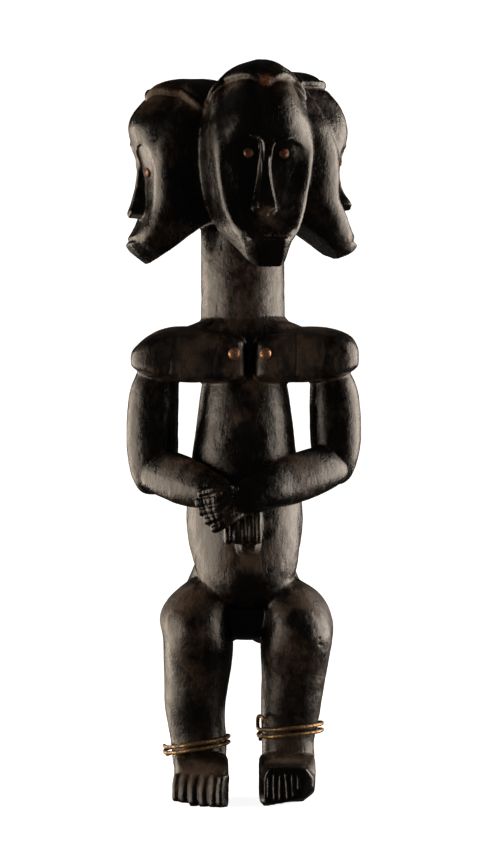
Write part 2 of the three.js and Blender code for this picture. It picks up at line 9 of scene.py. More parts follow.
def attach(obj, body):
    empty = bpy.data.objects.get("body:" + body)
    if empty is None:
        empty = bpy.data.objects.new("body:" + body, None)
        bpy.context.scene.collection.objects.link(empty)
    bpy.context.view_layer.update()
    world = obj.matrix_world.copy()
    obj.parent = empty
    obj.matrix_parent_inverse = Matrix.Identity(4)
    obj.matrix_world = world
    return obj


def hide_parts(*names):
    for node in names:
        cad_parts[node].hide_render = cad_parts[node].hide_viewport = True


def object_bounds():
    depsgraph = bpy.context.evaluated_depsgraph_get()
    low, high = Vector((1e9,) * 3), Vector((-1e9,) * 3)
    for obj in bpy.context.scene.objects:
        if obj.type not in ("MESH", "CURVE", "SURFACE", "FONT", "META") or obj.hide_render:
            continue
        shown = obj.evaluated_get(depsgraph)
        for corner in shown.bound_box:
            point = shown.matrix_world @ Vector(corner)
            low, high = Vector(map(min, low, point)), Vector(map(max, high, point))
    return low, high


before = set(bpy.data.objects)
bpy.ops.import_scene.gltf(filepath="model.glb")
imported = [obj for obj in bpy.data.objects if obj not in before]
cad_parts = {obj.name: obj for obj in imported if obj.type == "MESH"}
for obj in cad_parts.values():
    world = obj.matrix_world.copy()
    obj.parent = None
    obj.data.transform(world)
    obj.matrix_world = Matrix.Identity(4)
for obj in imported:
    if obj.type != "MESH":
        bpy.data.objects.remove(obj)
cadLow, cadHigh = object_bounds()
bpy.ops.object.select_all(action="DESELECT")
print("frame loaded:", len(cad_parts), "solids")

# The shapes are laid out round the middle of the neck; the frame's origin is under the middle of the box.
neckShift = np.array([0.1, 19.565, 0.0])

# The camera looks straight at the front. Its focal length and the picture's height are in pixels.
cameraSet = {"x": 2.8, "z": 299.0, "distance": 2600.0, "focalPixels": 3250.0, "frameHeight": 850.0}


def toMetres(points):
    return (np.asarray(points, float) + neckShift) * 0.001


def toMillimetres(points):
    return np.asarray(points, float) * 1000 - neckShift


def makeCamera(settings):
    x, y, z = toMetres([settings["x"], -settings["distance"], settings["z"]])
    bpy.ops.object.camera_add(location=(x, y, z), rotation=(math.pi / 2, 0, 0))
    camera = bpy.context.object
    camera.name = "camera"
    camera.data.sensor_width = 36
    camera.data.lens = 36 * settings["focalPixels"] / settings["frameHeight"]
    camera.data.clip_start = 0.1
    camera.data.clip_end = 20
    bpy.context.scene.camera = camera


makeCamera(cameraSet)


# Curves and small sums that the shapes share.
def smooth(low, high, x):
    share = np.clip((np.asarray(x, float) - low) / (high - low), 0, 1)
    return share * share * (3 - 2 * share)


def mix(a, b, share):
    return a + (b - a) * share


def hump(x, centre, spread):
    return np.exp(-(((np.asarray(x, float) - centre) / spread) ** 2))


def signedPower(x, exponent):
    return np.sign(x) * np.abs(x) ** exponent


# A smooth curve through stations of (place, value), in rising order of place.
def profile(*stations):
    places = np.array([station[0] for station in stations], float)
    values = np.array([station[1] for station in stations], float)
    before = np.maximum(np.arange(len(places)) - 1, 0)
    after = np.minimum(np.arange(len(places)) + 1, len(places) - 1)
    slopes = (values[after] - values[before]) / (places[after] - places[before])

    def at(place):
        x = np.clip(place, places[0], places[-1])
        i = np.clip(np.searchsorted(places, x, side="right") - 1, 0, len(places) - 2)
        span = places[i + 1] - places[i]
        t = (x - places[i]) / span
        bend0, bend1 = slopes[i] * span, slopes[i + 1] * span
        rise = values[i + 1] - values[i]
        return values[i] + t * (bend0 + t * (3 * rise - 2 * bend0 - bend1 + t * (bend0 + bend1 - 2 * rise)))

    return at


def ringPoint(turn, halfX, halfY, squareness=2.0):
    angle = turn * 2 * np.pi
    x = halfX * signedPower(np.cos(angle), 2 / squareness)
    y = halfY * signedPower(np.sin(angle), 2 / squareness)
    return x, y


def readVectors(piece, field):
    flat = np.empty(len(piece.data.vertices) * 3)
    piece.data.vertices.foreach_get(field, flat)
    return flat.reshape(-1, 3)


def readPoints(piece):
    return toMillimetres(readVectors(piece, "co"))


def writePoints(piece, points):
    piece.data.vertices.foreach_set("co", toMetres(points).ravel())
    piece.data.update()


def readNormals(piece):
    return readVectors(piece, "normal")


# The two ends of every edge.
def readEdges(piece):
    edges = np.empty(len(piece.data.edges) * 2, int)
    piece.data.edges.foreach_get("vertices", edges)
    return edges.reshape(-1, 2).T


def pickOnly(piece):
    bpy.ops.object.select_all(action="DESELECT")
    piece.select_set(True)
    bpy.context.view_layer.objects.active = piece


# Steps in edit mode, on the whole piece or on the faces that were chosen before.
def inEditMode(piece, *steps, chosenFaces=False):
    pickOnly(piece)
    bpy.ops.object.mode_set(mode="EDIT")
    if chosenFaces:
        bpy.ops.mesh.select_mode(type="FACE")
    else:
        bpy.ops.mesh.select_all(action="SELECT")
    for step in steps:
        step()
    bpy.ops.object.mode_set(mode="OBJECT")


# What lies beyond a plane is cut away and the cut is closed.
def cutAway(piece, spot, away):
    inEditMode(piece, lambda: bpy.ops.mesh.bisect(
        plane_co=Vector(toMetres(spot)), plane_no=away, use_fill=True, clear_outer=True))


def applyModifier(piece, kind, **settings):
    pickOnly(piece)
    modifier = piece.modifiers.new(kind.lower(), kind)
    for name, value in settings.items():
        setattr(modifier, name, value)
    bpy.ops.object.modifier_apply(modifier=modifier.name)


# A sphere whose points are placed again by their turn round it and their way down it, both 0 to 1.
def placedForm(name, columns, rows, place):
    bpy.ops.mesh.primitive_uv_sphere_add(segments=columns, ring_count=rows, radius=1)
    form = bpy.context.object
    form.name = name
    ball = readVectors(form, "co")
    down = np.rint(np.arccos(np.clip(ball[:, 2], -1, 1)) / np.pi * rows) / rows
    turn = (np.rint(np.arctan2(ball[:, 1], ball[:, 0]) / (2 * np.pi) * columns) % columns) / columns
    end = (down < 0.5 / rows) | (down > 1 - 0.5 / rows)
    turn = np.where(end, 0, turn)
    writePoints(form, np.stack(place(turn, down), axis=1))
    return form


# How a form narrows towards its two ends, which lie at -1 and 1.
def endShrink(along, ends):
    return (1 - np.abs(along) ** ends) ** (1 / ends)


def uprightForm(name, columns, rows, footZ, topZ, centreX, centreY, halfX, halfY, squareness=2.0, ends=5.0):
    def place(turn, down):
        along = np.cos(np.pi * down)
        z = mix(footZ, topZ, (1 + along) / 2)
        shrink = endShrink(along, ends)
        x, y = ringPoint(turn, halfX(z) * shrink, halfY(z) * shrink, squareness)
        return centreX(z) + x, centreY(z) + y, z

    return placedForm(name, columns, rows, place)


# The same value all along a form.
def steady(value):
    return lambda z: np.full_like(np.asarray(z, float), value)


# Even points along a smooth line through the given ones, and the way ahead at each.
def smoothLine(points, count):
    points = np.asarray(points, float)
    padded = np.vstack([2 * points[0] - points[1], points, 2 * points[-1] - points[-2]])
    t = np.linspace(0, 1, 24, endpoint=False)[:, None]
    dense = []
    for i in range(len(points) - 1):
        a, b, c, d = padded[i:i + 4]
        bend, twist = 2 * a - 5 * b + 4 * c - d, 3 * b - a - 3 * c + d
        dense.append(0.5 * (2 * b + (c - a) * t + bend * t ** 2 + twist * t ** 3))
    dense = np.vstack(dense + [points[-1:]])
    lengths = np.concatenate([[0], np.cumsum(np.linalg.norm(np.diff(dense, axis=0), axis=1))])
    even = np.linspace(0, lengths[-1], count)
    line = np.stack([np.interp(even, lengths, dense[:, axis]) for axis in range(3)], axis=1)
    ahead = np.gradient(line, axis=0)
    return line, ahead / np.linalg.norm(ahead, axis=1)[:, None]


def limbForm(name, columns, rows, points, across, up, ends=4.0, facing=(0, 0, 1), squareness=2.0, lean=0.0):
    places = 200
    last = places - 1
    line, ahead = smoothLine(points, places)
    side = np.cross(ahead, facing)
    side /= np.linalg.norm(side, axis=1)[:, None]
    over = np.cross(side, ahead)

    def place(turn, down):
        along = np.cos(np.pi * down)
        t = (1 - along) / 2
        at = np.clip(np.rint(t * last).astype(int), 0, last)
        shrink = endShrink(along, ends)
        x, y = ringPoint(turn, across(t) * shrink, up(t) * shrink, squareness)
        x = x * (1 - lean * np.clip(y / np.maximum(up(t) * shrink, 0.01), 0, 1))
        centre = [np.interp(t * last, np.arange(places), line[:, axis]) for axis in range(3)]
        spot = np.stack(centre, axis=1) + side[at] * x[:, None] + over[at] * y[:, None]
        return spot[:, 0], spot[:, 1], spot[:, 2]

    return placedForm(name, columns, rows, place)


# The head: heights on the face, and how far things reach forward of the middle of the neck.
headSet = {
    "jawZ": 421.0, "chinZ": 441.0, "lowerLipZ": 442.2, "mouthZ": 445.0, "upperLipZ": 448.0,
    "noseFootZ": 462.0, "noseTipZ": 466.0, "eyeZ": 510.0, "browZ": 521.0, "hairlineZ": 565.0,
    "crownReach": 38.0, "hairLobeRise": 5.5, "eyeSpread": 14.0, "noseX": -1.5, "neckX": -1.0,
    # How the net of a head is divided: round it, and from the crown down.
    "columns": 192, "faceColumns": 116, "sideColumns": 28,
    "rows": 168, "domeRows": 24, "rollRows": 16, "closingRows": 5,
}
headPlaces = [
    {"name": "front", "yaw": 13, "crownZ": 587, "crownShift": 4, "hairLift": 0, "lobe": 1, "narrow": 1,
     "flare": 4.5, "cheekOut": 2, "cheekBack": 8, "eyeDrop": 0, "eyeX": -0.4, "browHigh": 1.0, "noseRise": 0,
     "jawRise": 0, "jawShift": 4.5, "jawCut": -5, "pull": (0, 0, 0, 0)},
    {"name": "left", "yaw": -77, "crownZ": 575, "crownShift": 2, "hairLift": -7.5, "lobe": 1, "narrow": 0.86,
     "flare": 0, "cheekOut": 11, "cheekBack": 15, "eyeDrop": 11, "eyeX": -3.0, "browHigh": 0.8, "noseRise": 0,
     "jawRise": 2, "jawShift": 0, "jawCut": 2, "pull": (0, 0, 1, 2.5)},
    {"name": "right", "yaw": 103, "crownZ": 583, "crownShift": 0, "hairLift": 4, "lobe": 0.35, "narrow": 0.8,
     "flare": 0, "cheekOut": 13, "cheekBack": 20, "eyeDrop": 0, "eyeX": -0.4, "browHigh": 0.4, "noseRise": 9,
     "jawRise": 8, "jawShift": 0, "jawCut": 8, "pull": (2, 6, 8, 14)},
]
# Height and reach: the middle line of the face, the nose, and the rim; then height and half width.
middleLine = profile(
    (421, 74), (427, 80), (433, 87), (441, 93), (447, 92), (455, 87), (463, 83), (490, 81), (508, 85),
    (521, 89.5), (536, 93), (550, 90), (565, 79.5))
noseLine = profile((463, 93), (466, 93), (478, 89.5), (490, 86.8), (508, 86), (521, 87))
noseHalf = profile((462, 9.0), (467, 8.8), (474, 7.4), (490, 4.7), (507, 3.3), (521, 3.4))
edgeLine = profile(
    (421, 63), (431, 75), (441, 85), (447, 89), (455, 85.5), (470, 79), (497, 79), (515, 78), (536, 72),
    (550, 66), (565, 57))
edgeHalf = profile(
    (421, 12.5), (431, 16), (441, 18.8), (447, 22.5), (455, 27), (475, 33), (497, 36.5), (515, 38),
    (536, 36.5), (550, 31), (570, 25))
sideHalf = profile(
    (421, 9), (431, 12.5), (440, 15.5), (452, 21), (466, 28.5), (479, 36), (497, 41), (536, 42.5),
    (550, 40.5), (570, 36))
# The roll of hair, from its top at 0 to its foot at 1: how far it stands out, and its height.
rollOut = profile((0, -2.4), (0.2, 0.4), (0.42, 1.9), (0.62, 2.3), (0.8, 1.6), (1, -0.4))
rollUp = profile((0, 3.8), (0.2, 4.2), (0.42, 2.9), (0.62, 0.8), (0.8, -0.9), (1, -2.6))
# How far the hair line drops from the top of a lobe, from over the nose round to the back of the side.
hairDrop = profile(
    (0, 5.6), (0.1, 5.2), (0.25, 3.0), (0.4, 1.0), (0.55, 0.1), (0.7, 0.2), (0.85, 1.0), (1, 2.6),
    (1.2, 7.0), (1.4, 13.5), (1.6, 19), (1.8, 22), (2, 22))


def faceReach(t, z, narrow=1.0):
    share = np.abs(t) / (edgeHalf(z) * narrow)
    # The chin is a flat block with a facet down each side, and the face above it is rounded across.
    facet = np.clip((share - 0.62) / 0.38, 0, 1.5) ** 1.2
    bow = mix(3.2, 2, smooth(449, 463, z)) + smooth(498, 518, z)
    across = mix(facet, np.minimum(share, 1.2) ** bow, smooth(441, 449, z))
    reach = mix(middleLine(z), edgeLine(z), across)
    cheeks = smooth(447, 475, z) * (1 - smooth(492, 508, z))
    reach = reach - 2.0 * cheeks * np.sin(np.pi * np.minimum(share, 1))
    # The eyes lie a little under the brows, which run out from the top of the nose.
    aside = np.abs(t - headSet["noseX"])
    browAt = headSet["browZ"] - 13 * (1 - smooth(2, 7, aside)) - 5 * smooth(17, 32, aside)
    socket = (1 - smooth(browAt - 2.4, browAt + 0.6, z)) * smooth(480, 506, z)
    reach = reach - 1.8 * socket * (1 - smooth(0.65, 0.95, share))
    foot = headSet["noseFootZ"] + 3.6 * np.minimum(aside / 8.6, 1)
    onNose = smooth(foot, foot + 1.4, z) * (z < headSet["browZ"])
    body = 1 - smooth(0.8, 1.15, aside / noseHalf(z))
    reach = reach + np.maximum(noseLine(z) - reach, 0) * body * onNose
    acrossMouth = 1 - smooth(0.75, 1.0, share)
    reach = reach - 2.2 * hump(z, headSet["mouthZ"], 1.1) * acrossMouth
    lips = 0.4 * hump(z, headSet["upperLipZ"], 1.4) + 1.1 * hump(z, headSet["lowerLipZ"], 1.3)
    return reach + lips * acrossMouth


# Round the head at one height: across the face, round the right side, the back, and the left side.
def headOutline(column, z, head):
    faceColumns, sideColumns, columns = headSet["faceColumns"], headSet["sideColumns"], headSet["columns"]
    backColumns = columns - faceColumns - 2 * sideColumns
    share = np.clip(2 * column / faceColumns - 1, -1, 1)
    narrow = mix(1, head["narrow"], smooth(431, 455, z))
    edge = edgeHalf(z) * narrow
    t = share * edge
    reach = faceReach(t, z, narrow)
    around = np.abs(share)
    past = column - faceColumns
    onLeft = past > sideColumns + backColumns
    hand = np.where(onLeft, -1, 1)
    side = np.where(onLeft, (columns - column) / sideColumns, np.clip(past / sideColumns, 0, 1))
    # From the rim the cheek rounds over within a short way, and then the side runs straight back.
    rimReach = faceReach(edge, z, narrow)
    flare = head["flare"] * smooth(430, 452, z) * (1 - smooth(540, 562, z))
    cheekOut = np.maximum(sideHalf(z) * 1.02 - edge - flare, head["cheekOut"] * smooth(421, 450, z))
    cheekTurn = np.clip(side / 0.5, 0, 1) * np.pi / 2
    behind = np.clip((side - 0.5) / 0.5, 0, 1)
    backHalf = sideHalf(z) * 0.96
    bendT = mix(edge + cheekOut * np.sin(cheekTurn), backHalf, behind) + flare * np.sin(np.pi * behind)
    bendReach = mix(rimReach - head["cheekBack"] * (1 - np.cos(cheekTurn)), 0, behind)
    acrossBack = np.clip((past - sideColumns) / backColumns, 0, 1)
    onBack = (past > sideColumns) & ~onLeft
    offFace = past > 0
    t = np.where(offFace, hand * bendT, t)
    reach = np.where(offFace, bendReach, reach)
    backTurn = 1 - 2 * acrossBack
    t = np.where(onBack, backHalf * backTurn, t)
    reach = np.where(onBack, -14 * (1 - backTurn ** 2) ** 0.5, reach)
    return t, reach, np.where(offFace, 1, around), np.where(offFace, side, 0)


# How much less a head reaches forward than the front one, by height.
def pullOf(head):
    mouth, cheek, forehead, hair = head["pull"]
    return profile((421, mouth), (443, mouth), (480, cheek), (536, forehead), (565, hair))


# A spot on a head, given as sideways place, reach and height, is turned the way the head looks.
def turnHead(head, t, reach, z):
    yaw = math.radians(head["yaw"])
    x = t * math.cos(yaw) + reach * math.sin(yaw) + headSet["neckX"]
    y = t * math.sin(yaw) - reach * math.cos(yaw)
    return x, y, z


def headForm(head):
    rows, columns = headSet["rows"], headSet["columns"]
    domeRows, rollRows, closingRows = headSet["domeRows"], headSet["rollRows"], headSet["closingRows"]
    faceRows = rows - domeRows - rollRows - closingRows
    pull = pullOf(head)
    jaw, chin, hairline = headSet["jawZ"], headSet["chinZ"], headSet["hairlineZ"]

    def place(turn, down):
        column = np.rint(turn * columns)
        row = np.rint(down * rows)
        hairT, hairReach, around, side = headOutline(column, np.full_like(turn, hairline), head)
        hairReach = hairReach - pull(hairline) * smooth(20, 60, hairReach)
        lobe = headSet["hairLobeRise"] - hairDrop(around + side)
        hairZ = hairline + head["hairLift"] + np.where(lobe > 0, head["lobe"], 1) * lobe
        # The cap and the roll of hair under it.
        step = np.clip(1 - row / domeRows, 0, 1)
        rollAt = np.clip((row - domeRows) / rollRows, 0, 1)
        out, up = rollOut(rollAt), rollUp(rollAt)
        rise = head["crownZ"] - (hairZ + up)
        inward = np.cos(step * np.pi / 2)
        length = np.hypot(hairT, hairReach - headSet["crownReach"])
        scale = inward * (length + out) / length
        shift = head["crownShift"] * np.sin(step * np.pi / 2)
        capT = hairT * scale * inward ** 0.6 + shift
        capReach = headSet["crownReach"] + (hairReach - headSet["crownReach"]) * scale
        capZ = hairZ + up + rise * np.sin(step * np.pi / 2)
        # The face, sides and back below it.
        faceAt = np.clip((row - domeRows - rollRows) / faceRows, 0, 1)
        level = mix(hairline - 3, jaw, faceAt)
        t, reach = headOutline(column, level, head)[:2]
        reach = reach - pull(level) * smooth(20, 60, reach)
        follow = (hairZ - hairline) * smooth(528, 562, level)
        noseRise = head["noseRise"] * hump(level, headSet["noseTipZ"], 16)
        z = level + follow + noseRise + head["jawRise"] * (1 - smooth(jaw, chin, level))
        t = t + head["jawShift"] * (1 - smooth(419, 445, level)) * smooth(30, 60, reach)
        closing = np.clip((row - domeRows - rollRows - faceRows) / closingRows, 0, 1)
        t = t * (1 - closing)
        reach = mix(reach, headSet["crownReach"], closing)
        isFace = row > domeRows + rollRows
        spot = [np.where(isFace, below, cap) for below, cap in ((t, capT), (reach, capReach), (z, capZ))]
        return turnHead(head, *spot)

    form = placedForm("head_" + head["name"], columns, rows, place)
    # One straight cut under the jaw, from the chin back up to the neck.
    yaw = math.radians(head["yaw"])
    away = Vector((-0.6 * math.sin(yaw), 0.6 * math.cos(yaw), -0.8))
    cutAway(form, turnHead(head, 0, 77, 425 + head["jawCut"]), away)
    return form


# The reddish worn knob where the two lobes of hair meet over the nose.
def hairKnob(head):
    hairline = headSet["hairlineZ"]
    x, y, z = turnHead(head, 0.4, 77.5 - pullOf(head)(hairline), hairline + 1.5 + head["hairLift"])
    return uprightForm(
        "knob", 24, 16, z - 4.4, z + 4.4, steady(x), steady(y), steady(4.3), steady(4.4), squareness=3.4,
        ends=4)


neckSet = {"footZ": 350, "topZ": 500, "x": -1, "halfX": 33.4, "halfY": 32}
trunkHalf = profile(
    (150, 36), (170, 39.5), (183, 41), (205, 45.2), (226, 46.6), (255, 44.3), (300, 38.8), (336, 35.6),
    (372, 36))
bellyHalf = profile((151, 31), (160, 33), (178, 39), (200, 42), (230, 44))


def bodyForms():
    neck = uprightForm(
        "neck", 72, 40, neckSet["footZ"], neckSet["topZ"], steady(neckSet["x"]), steady(0),
        steady(neckSet["halfX"]), steady(neckSet["halfY"]), ends=12)
    crown = uprightForm("crown", 72, 40, 446, 570, steady(-1), steady(4), steady(50), steady(48), ends=2.6)
    trunk = uprightForm(
        "trunk", 96, 90, 146, 372, steady(0.4), steady(1), trunkHalf, lambda z: trunkHalf(z) * 0.94,
        squareness=2.15, ends=4)
    belly = uprightForm("belly", 80, 50, 151, 256, steady(2), steady(-8), bellyHalf, steady(38), ends=3.2)
    return [neck, crown, trunk, belly]


# The loaf-shaped shoulder plates, which meet in a groove on the breast and in one on the back.
plateSet = {
    "footZ": 333, "reach": 47, "back": 40, "endReach": 40, "endBack": 30, "innerX": 5, "grooveHalf": 3,
}
plateEnds = {-1: -90, 1: 91}
plateTops = {
    -1: profile((-92, 358), (-86, 363.5), (-75, 371.5), (-60, 377), (-30, 378), (5, 374)),
    1: profile((2, 374), (35, 377), (60, 378), (76, 375), (86, 370), (92, 362)),
}


def plateForm(hand):
    outer = plateEnds[hand]
    inner = plateSet["innerX"] + hand * plateSet["grooveHalf"]
    topOf = plateTops[hand]

    def place(turn, down):
        along = np.cos(np.pi * down)
        x = mix(inner, outer, (1 + along) / 2)
        away = np.abs(x - inner) / abs(outer - inner)
        blunt = mix(9, 8, smooth(0, 0.6, along))
        shrink = endShrink(along, blunt)
        footZ = plateSet["footZ"] + 11 * away ** 5
        y, z = ringPoint(hand * turn, 1, 1, mix(6.5, 4.4, away ** 4))
        depth = mix(plateSet["reach"], plateSet["endReach"], away ** 9)
        back = mix(plateSet["back"], plateSet["endBack"], away ** 2)
        halfZ = (topOf(x) - footZ) / 2 * shrink
        lean = 2.5 * z
        # The top slopes down to the front face.
        fall = 6.5 * np.clip(-y, 0, 1) ** 1.6 * np.clip(z, 0, 1) ** 1.5 * (1 - 0.5 * away ** 4)
        height = (topOf(x) + footZ) / 2 + z * halfZ - fall
        return x, (back - depth) / 2 + y * (depth + back) / 2 * shrink + lean, height

    return placedForm("plate", 96, 72, place)


def collarForm():
    half = profile((350, 84), (366, 74), (374, 56), (382, 36))
    return uprightForm(
        "collar", 80, 40, 346, 388, steady(0), steady(1), half, steady(34), squareness=2.2, ends=6)


# Arms: each has an upright upper arm and a forearm that crosses to the belly.
armSet = {"x": 71.8, "half": 20.6}
forearmLines = {
    -1: [(-80, 4, 264), (-60, -16, 259.5), (-42, -34, 253), (-22, -48, 246), (0, -55, 237)],
    1: [(80, 4, 270), (56, -20, 262.5), (36, -37, 255.5), (18, -52, 249), (-4, -60.5, 241), (-24, -60, 234)],
}
forearmAcross = {-1: profile((0, 19), (1, 11)), 1: profile((0, 19), (0.82, 11.5), (1, 7.5))}


def armForms(hand):
    def centreX(z):
        return hand * (armSet["x"] + 1.5 * hump(z, 290, 30) - 3 * smooth(320, 350, z))

    elbowZ, ends = (243, 3) if hand < 0 else (251, 2.6)
    upper = uprightForm(
        "upper_arm", 64, 60, elbowZ, 352, centreX, steady(1), steady(armSet["half"]), steady(21),
        squareness=2.35, ends=ends)
    lower = limbForm(
        "forearm", 56, 60, forearmLines[hand], forearmAcross[hand],
        lambda t: mix(19.5, 12.5, smooth(0.4, 1, t)), ends=3, squareness=2.4, lean=0.35)
    return [upper, lower]


# The hands: a thumb and four fingers lie across the other wrist, and five fingers hang down under them.
handSet = {
    # x and z along each finger from the knuckles to the tip, and its half thickness.
    "across": [
        ([(-9, 250.4), (-14, 250.0), (-21, 248.8), (-28, 247), (-35.5, 244.4)], 3.2),
        ([(2, 251), (-8, 247.8), (-16, 244.6), (-22, 241), (-29, 239.2), (-37.6, 238)], 4.6),
        ([(2, 246), (-8, 240.6), (-16, 237.2), (-22, 233.6), (-29, 232.3), (-35, 230.4)], 4.1),
        ([(2, 240), (-8, 234.2), (-16, 230.2), (-21, 227.2), (-26, 225.2), (-30.6, 224)], 4.0),
        ([(2, 232), (-8, 226.6), (-16, 221.8), (-20.4, 219), (-25, 217.4)], 3.6),
    ],
    # x of each hanging finger, its half width, and the height of its knuckle.
    "hanging": [(-12.6, 3.0, 220), (-5.7, 3.6, 224), (0.3, 2.7, 226), (5.9, 3.1, 230), (11.7, 2.5, 233)],
    "hangingTip": 206.0,
    "palmAcross": [(14, -49, 249), (0, -57, 243), (-16, -61.5, 236), (-32, -58.5, 229)],
    "palmHanging": [(1, -44, 240), (1, -47, 226), (1, -45, 208)],
}


# How far forward the fingers across the wrist lie.
def fingerReach(x):
    return -(67 - 7 * smooth(-18, -38, x) - 9 * smooth(-12, 2, x))


def handForms():
    forms = []
    for pairs, half in handSet["across"]:
        points = [(x, float(fingerReach(x)), z) for x, z in pairs]
        forms.append(limbForm(
            "finger", 24, 36, points, steady(4.2), lambda t: half * mix(0.9, 1, smooth(0.1, 0.4, t)), ends=8,
            squareness=2.3))
    forms.append(limbForm(
        "palm", 40, 40, handSet["palmAcross"], steady(7.5), lambda t: mix(10, 13.5, smooth(0, 0.5, t)),
        ends=6, squareness=3.0))
    tip = handSet["hangingTip"]
    for x, half, knuckle in handSet["hanging"]:
        points = [(x, -52, knuckle + 8), (x - 0.2, -56.5, mix(knuckle, tip, 0.4)), (x, -54.5, tip)]
        forms.append(limbForm(
            "finger", 24, 30, points, steady(half), steady(4.6), ends=7, facing=(0, -1, 0), squareness=2.1))
    forms.append(limbForm(
        "palm", 40, 30, handSet["palmHanging"], steady(13.5), steady(7.4), facing=(0, -1, 0)))
    return forms


navelSet = {"x": 3.2, "z": 206.0, "baseHalf": 12.5, "tipHalf": 6.6}


def navelForm():
    x, z, base, tip = (navelSet[name] for name in ("x", "z", "baseHalf", "tipHalf"))
    return limbForm(
        "navel", 48, 30, [(x, -30, z + 1), (x, -44, z - 1), (x, -54, z - 2.2)],
        lambda t: mix(base, tip, smooth(0.3, 1, t)), lambda t: mix(base, tip + 0.4, smooth(0.3, 1, t)),
        ends=7, squareness=2.6)


# Legs: outer and inner edges, front and back, by height.
legSet = {
    -1: {
        "outer": profile((10, -56), (31, -57.5), (47, -59), (71, -63), (100, -64), (127, -64.3), (143, -67.3),
                         (151, -66.3), (159, -62), (167, -54.5), (175, -44.5), (182, -34)),
        "inner": profile((10, -13), (47, -14), (71, -15.2), (100, -11), (119, -8.6), (131, -8.6), (150, -9),
                         (165, -5)),
    },
    1: {
        "outer": profile((10, 55), (31, 57), (47, 56.5), (71, 61), (90, 64), (119, 69), (139, 71.4),
                         (151, 69), (159, 65.3), (167, 58.5), (175, 46), (182, 36)),
        "inner": profile((10, 13), (47, 14), (71, 13.5), (100, 14), (119, 13.2), (131, 13.2), (150, 13.4),
                         (165, 8)),
    },
}
legFront = profile((10, 24), (47, 21.5), (62, 23.5), (78, 29), (100, 35), (112, 40.5), (123, 45.5),
                   (135, 47.5), (150, 43), (160, 37), (175, 27), (190, 20))
legBack = profile((10, 26), (47, 21.5), (62, 23.5), (85, 33), (105, 33), (120, 30), (150, 44), (190, 40))


def legForm(hand):
    outer, inner = legSet[hand]["outer"], legSet[hand]["inner"]
    return uprightForm(
        "leg", 84, 110, 8, 188, lambda z: (outer(z) + inner(z)) / 2, lambda z: (legBack(z) - legFront(z)) / 2,
        lambda z: np.abs(outer(z) - inner(z)) / 2, lambda z: (legFront(z) + legBack(z)) / 2, squareness=2.3,
        ends=6)


def hipForms():
    seatX = profile((124, 30), (145, 34), (175, 21), (205, 12))
    seatY = profile((124, 32), (140, 36), (175, 31), (205, 20))
    forms = [uprightForm(
        "pelvis", 72, 40, 127, 186, steady(2), steady(11), steady(42.5), steady(36), squareness=2.4,
        ends=3.4)]
    for hand in (-1, 1):
        forms.append(uprightForm(
            "seat", 64, 50, 122, 206, steady(hand * 24), steady(20), seatX, seatY, squareness=2.2, ends=2.6))
    return forms


# Feet: a flat block with a sloping instep. The left one has toes cut down its front. The right one has
# lost its toes to a flat cut and is worn away under its outer front.
footSet = {
    -1: {"x": -34.0, "half": 21.6, "toeTopZ": 25.5},
    1: {"x": 34.2, "half": 22.4, "toeTopZ": 31.5},
}
footShape = {"heel": 32, "toe": 62, "instepZ": 39, "heelTopZ": 33}
# The middle and half width of each toe of the left foot, which is turned out.
toeSet = [(-51.6, 3.0), (-45.8, 4.0), (-38.2, 3.6), (-30.4, 3.8), (-22.6, 4.2), (-16.6, 3.0)]
toeTurn = math.radians(-36)


# The outer toes lie further back.
def toeReach(x):
    return footShape["toe"] - 0.4 * np.clip(-15 - np.asarray(x, float), 0, 40)


# How high the worn soles stand off the ground.
def soleOf(hand, x, forward):
    if hand < 0:
        return 3.4 * smooth(-32, -53, x) * smooth(18, 46, forward)
    ramp = 6.8 * np.clip((x - 16) / 31, 0, 1) * np.clip((forward - 18) / 42, 0, 1)
    return ramp + 7.5 * smooth(46, 56, x) * (0.4 + 0.6 * smooth(-10, 60, forward))


def footForms(hand):
    foot = footSet[hand]
    heel, toe = footShape["heel"], footShape["toe"] - 0.5
    heelTop, instep = footShape["heelTopZ"], footShape["instepZ"]
    centreY, halfLength = (heel - toe) / 2, (heel + toe) / 2

    def place(turn, down):
        along = np.cos(np.pi * down)
        shrink = endShrink(along, 8)
        x, y = ringPoint(turn, foot["half"] * shrink, halfLength * shrink, 3.6 if hand < 0 else 5)
        forward = -(centreY + y)
        if hand < 0:
            forward = forward * mix(1, (toeReach(foot["x"] + x) - 4) / toe, smooth(0, 30, forward))
        topZ = mix(mix(heelTop, instep, smooth(0, 20, forward)), foot["toeTopZ"], smooth(20, 52, forward))
        shoulder = 10 * smooth(0.6, 1.05, np.abs(x) / foot["half"]) * smooth(30, 56, forward) * (hand > 0)
        spotX = foot["x"] + x
        return spotX, -forward, mix(soleOf(hand, spotX, forward), topZ - shoulder, (1 + along) / 2)

    forms = [placedForm("foot", 96, 48, place)]
    if hand > 0:
        # The flat cut across the front, and a smaller one at its outer corner.
        for spot, away in (((34, -58.6, 15), (-0.05, -1, 0)), ((47.5, -58.4, 15), (0.5, -0.85, -0.12))):
            cutAway(forms[0], spot, away)
        return forms
    for x, half in toeSet:
        reach = float(toeReach(x))
        footZ, topZ = float(soleOf(hand, x, 60)), foot["toeTopZ"] - 0.03 * abs(x + 30)

        def placeToe(turn, down):
            along = np.cos(np.pi * down)
            shrink = endShrink(along, 7)
            z = mix(footZ, topZ, (1 + along) / 2)
            across, away = ringPoint(turn, half * shrink, 6 * shrink, 3.2)
            away = away + 2.2 * smooth(14, 27, z)
            spotX = x + across * math.cos(toeTurn) - away * math.sin(toeTurn)
            spotY = -reach + 6.5 * math.cos(toeTurn) + across * math.sin(toeTurn) + away * math.cos(toeTurn)
            return spotX, spotY, z

        forms.append(placedForm("toe", 32, 36, placeToe))
    return forms


figureSet = {"voxel": 0.95, "softening": 3, "triangles": 194000}


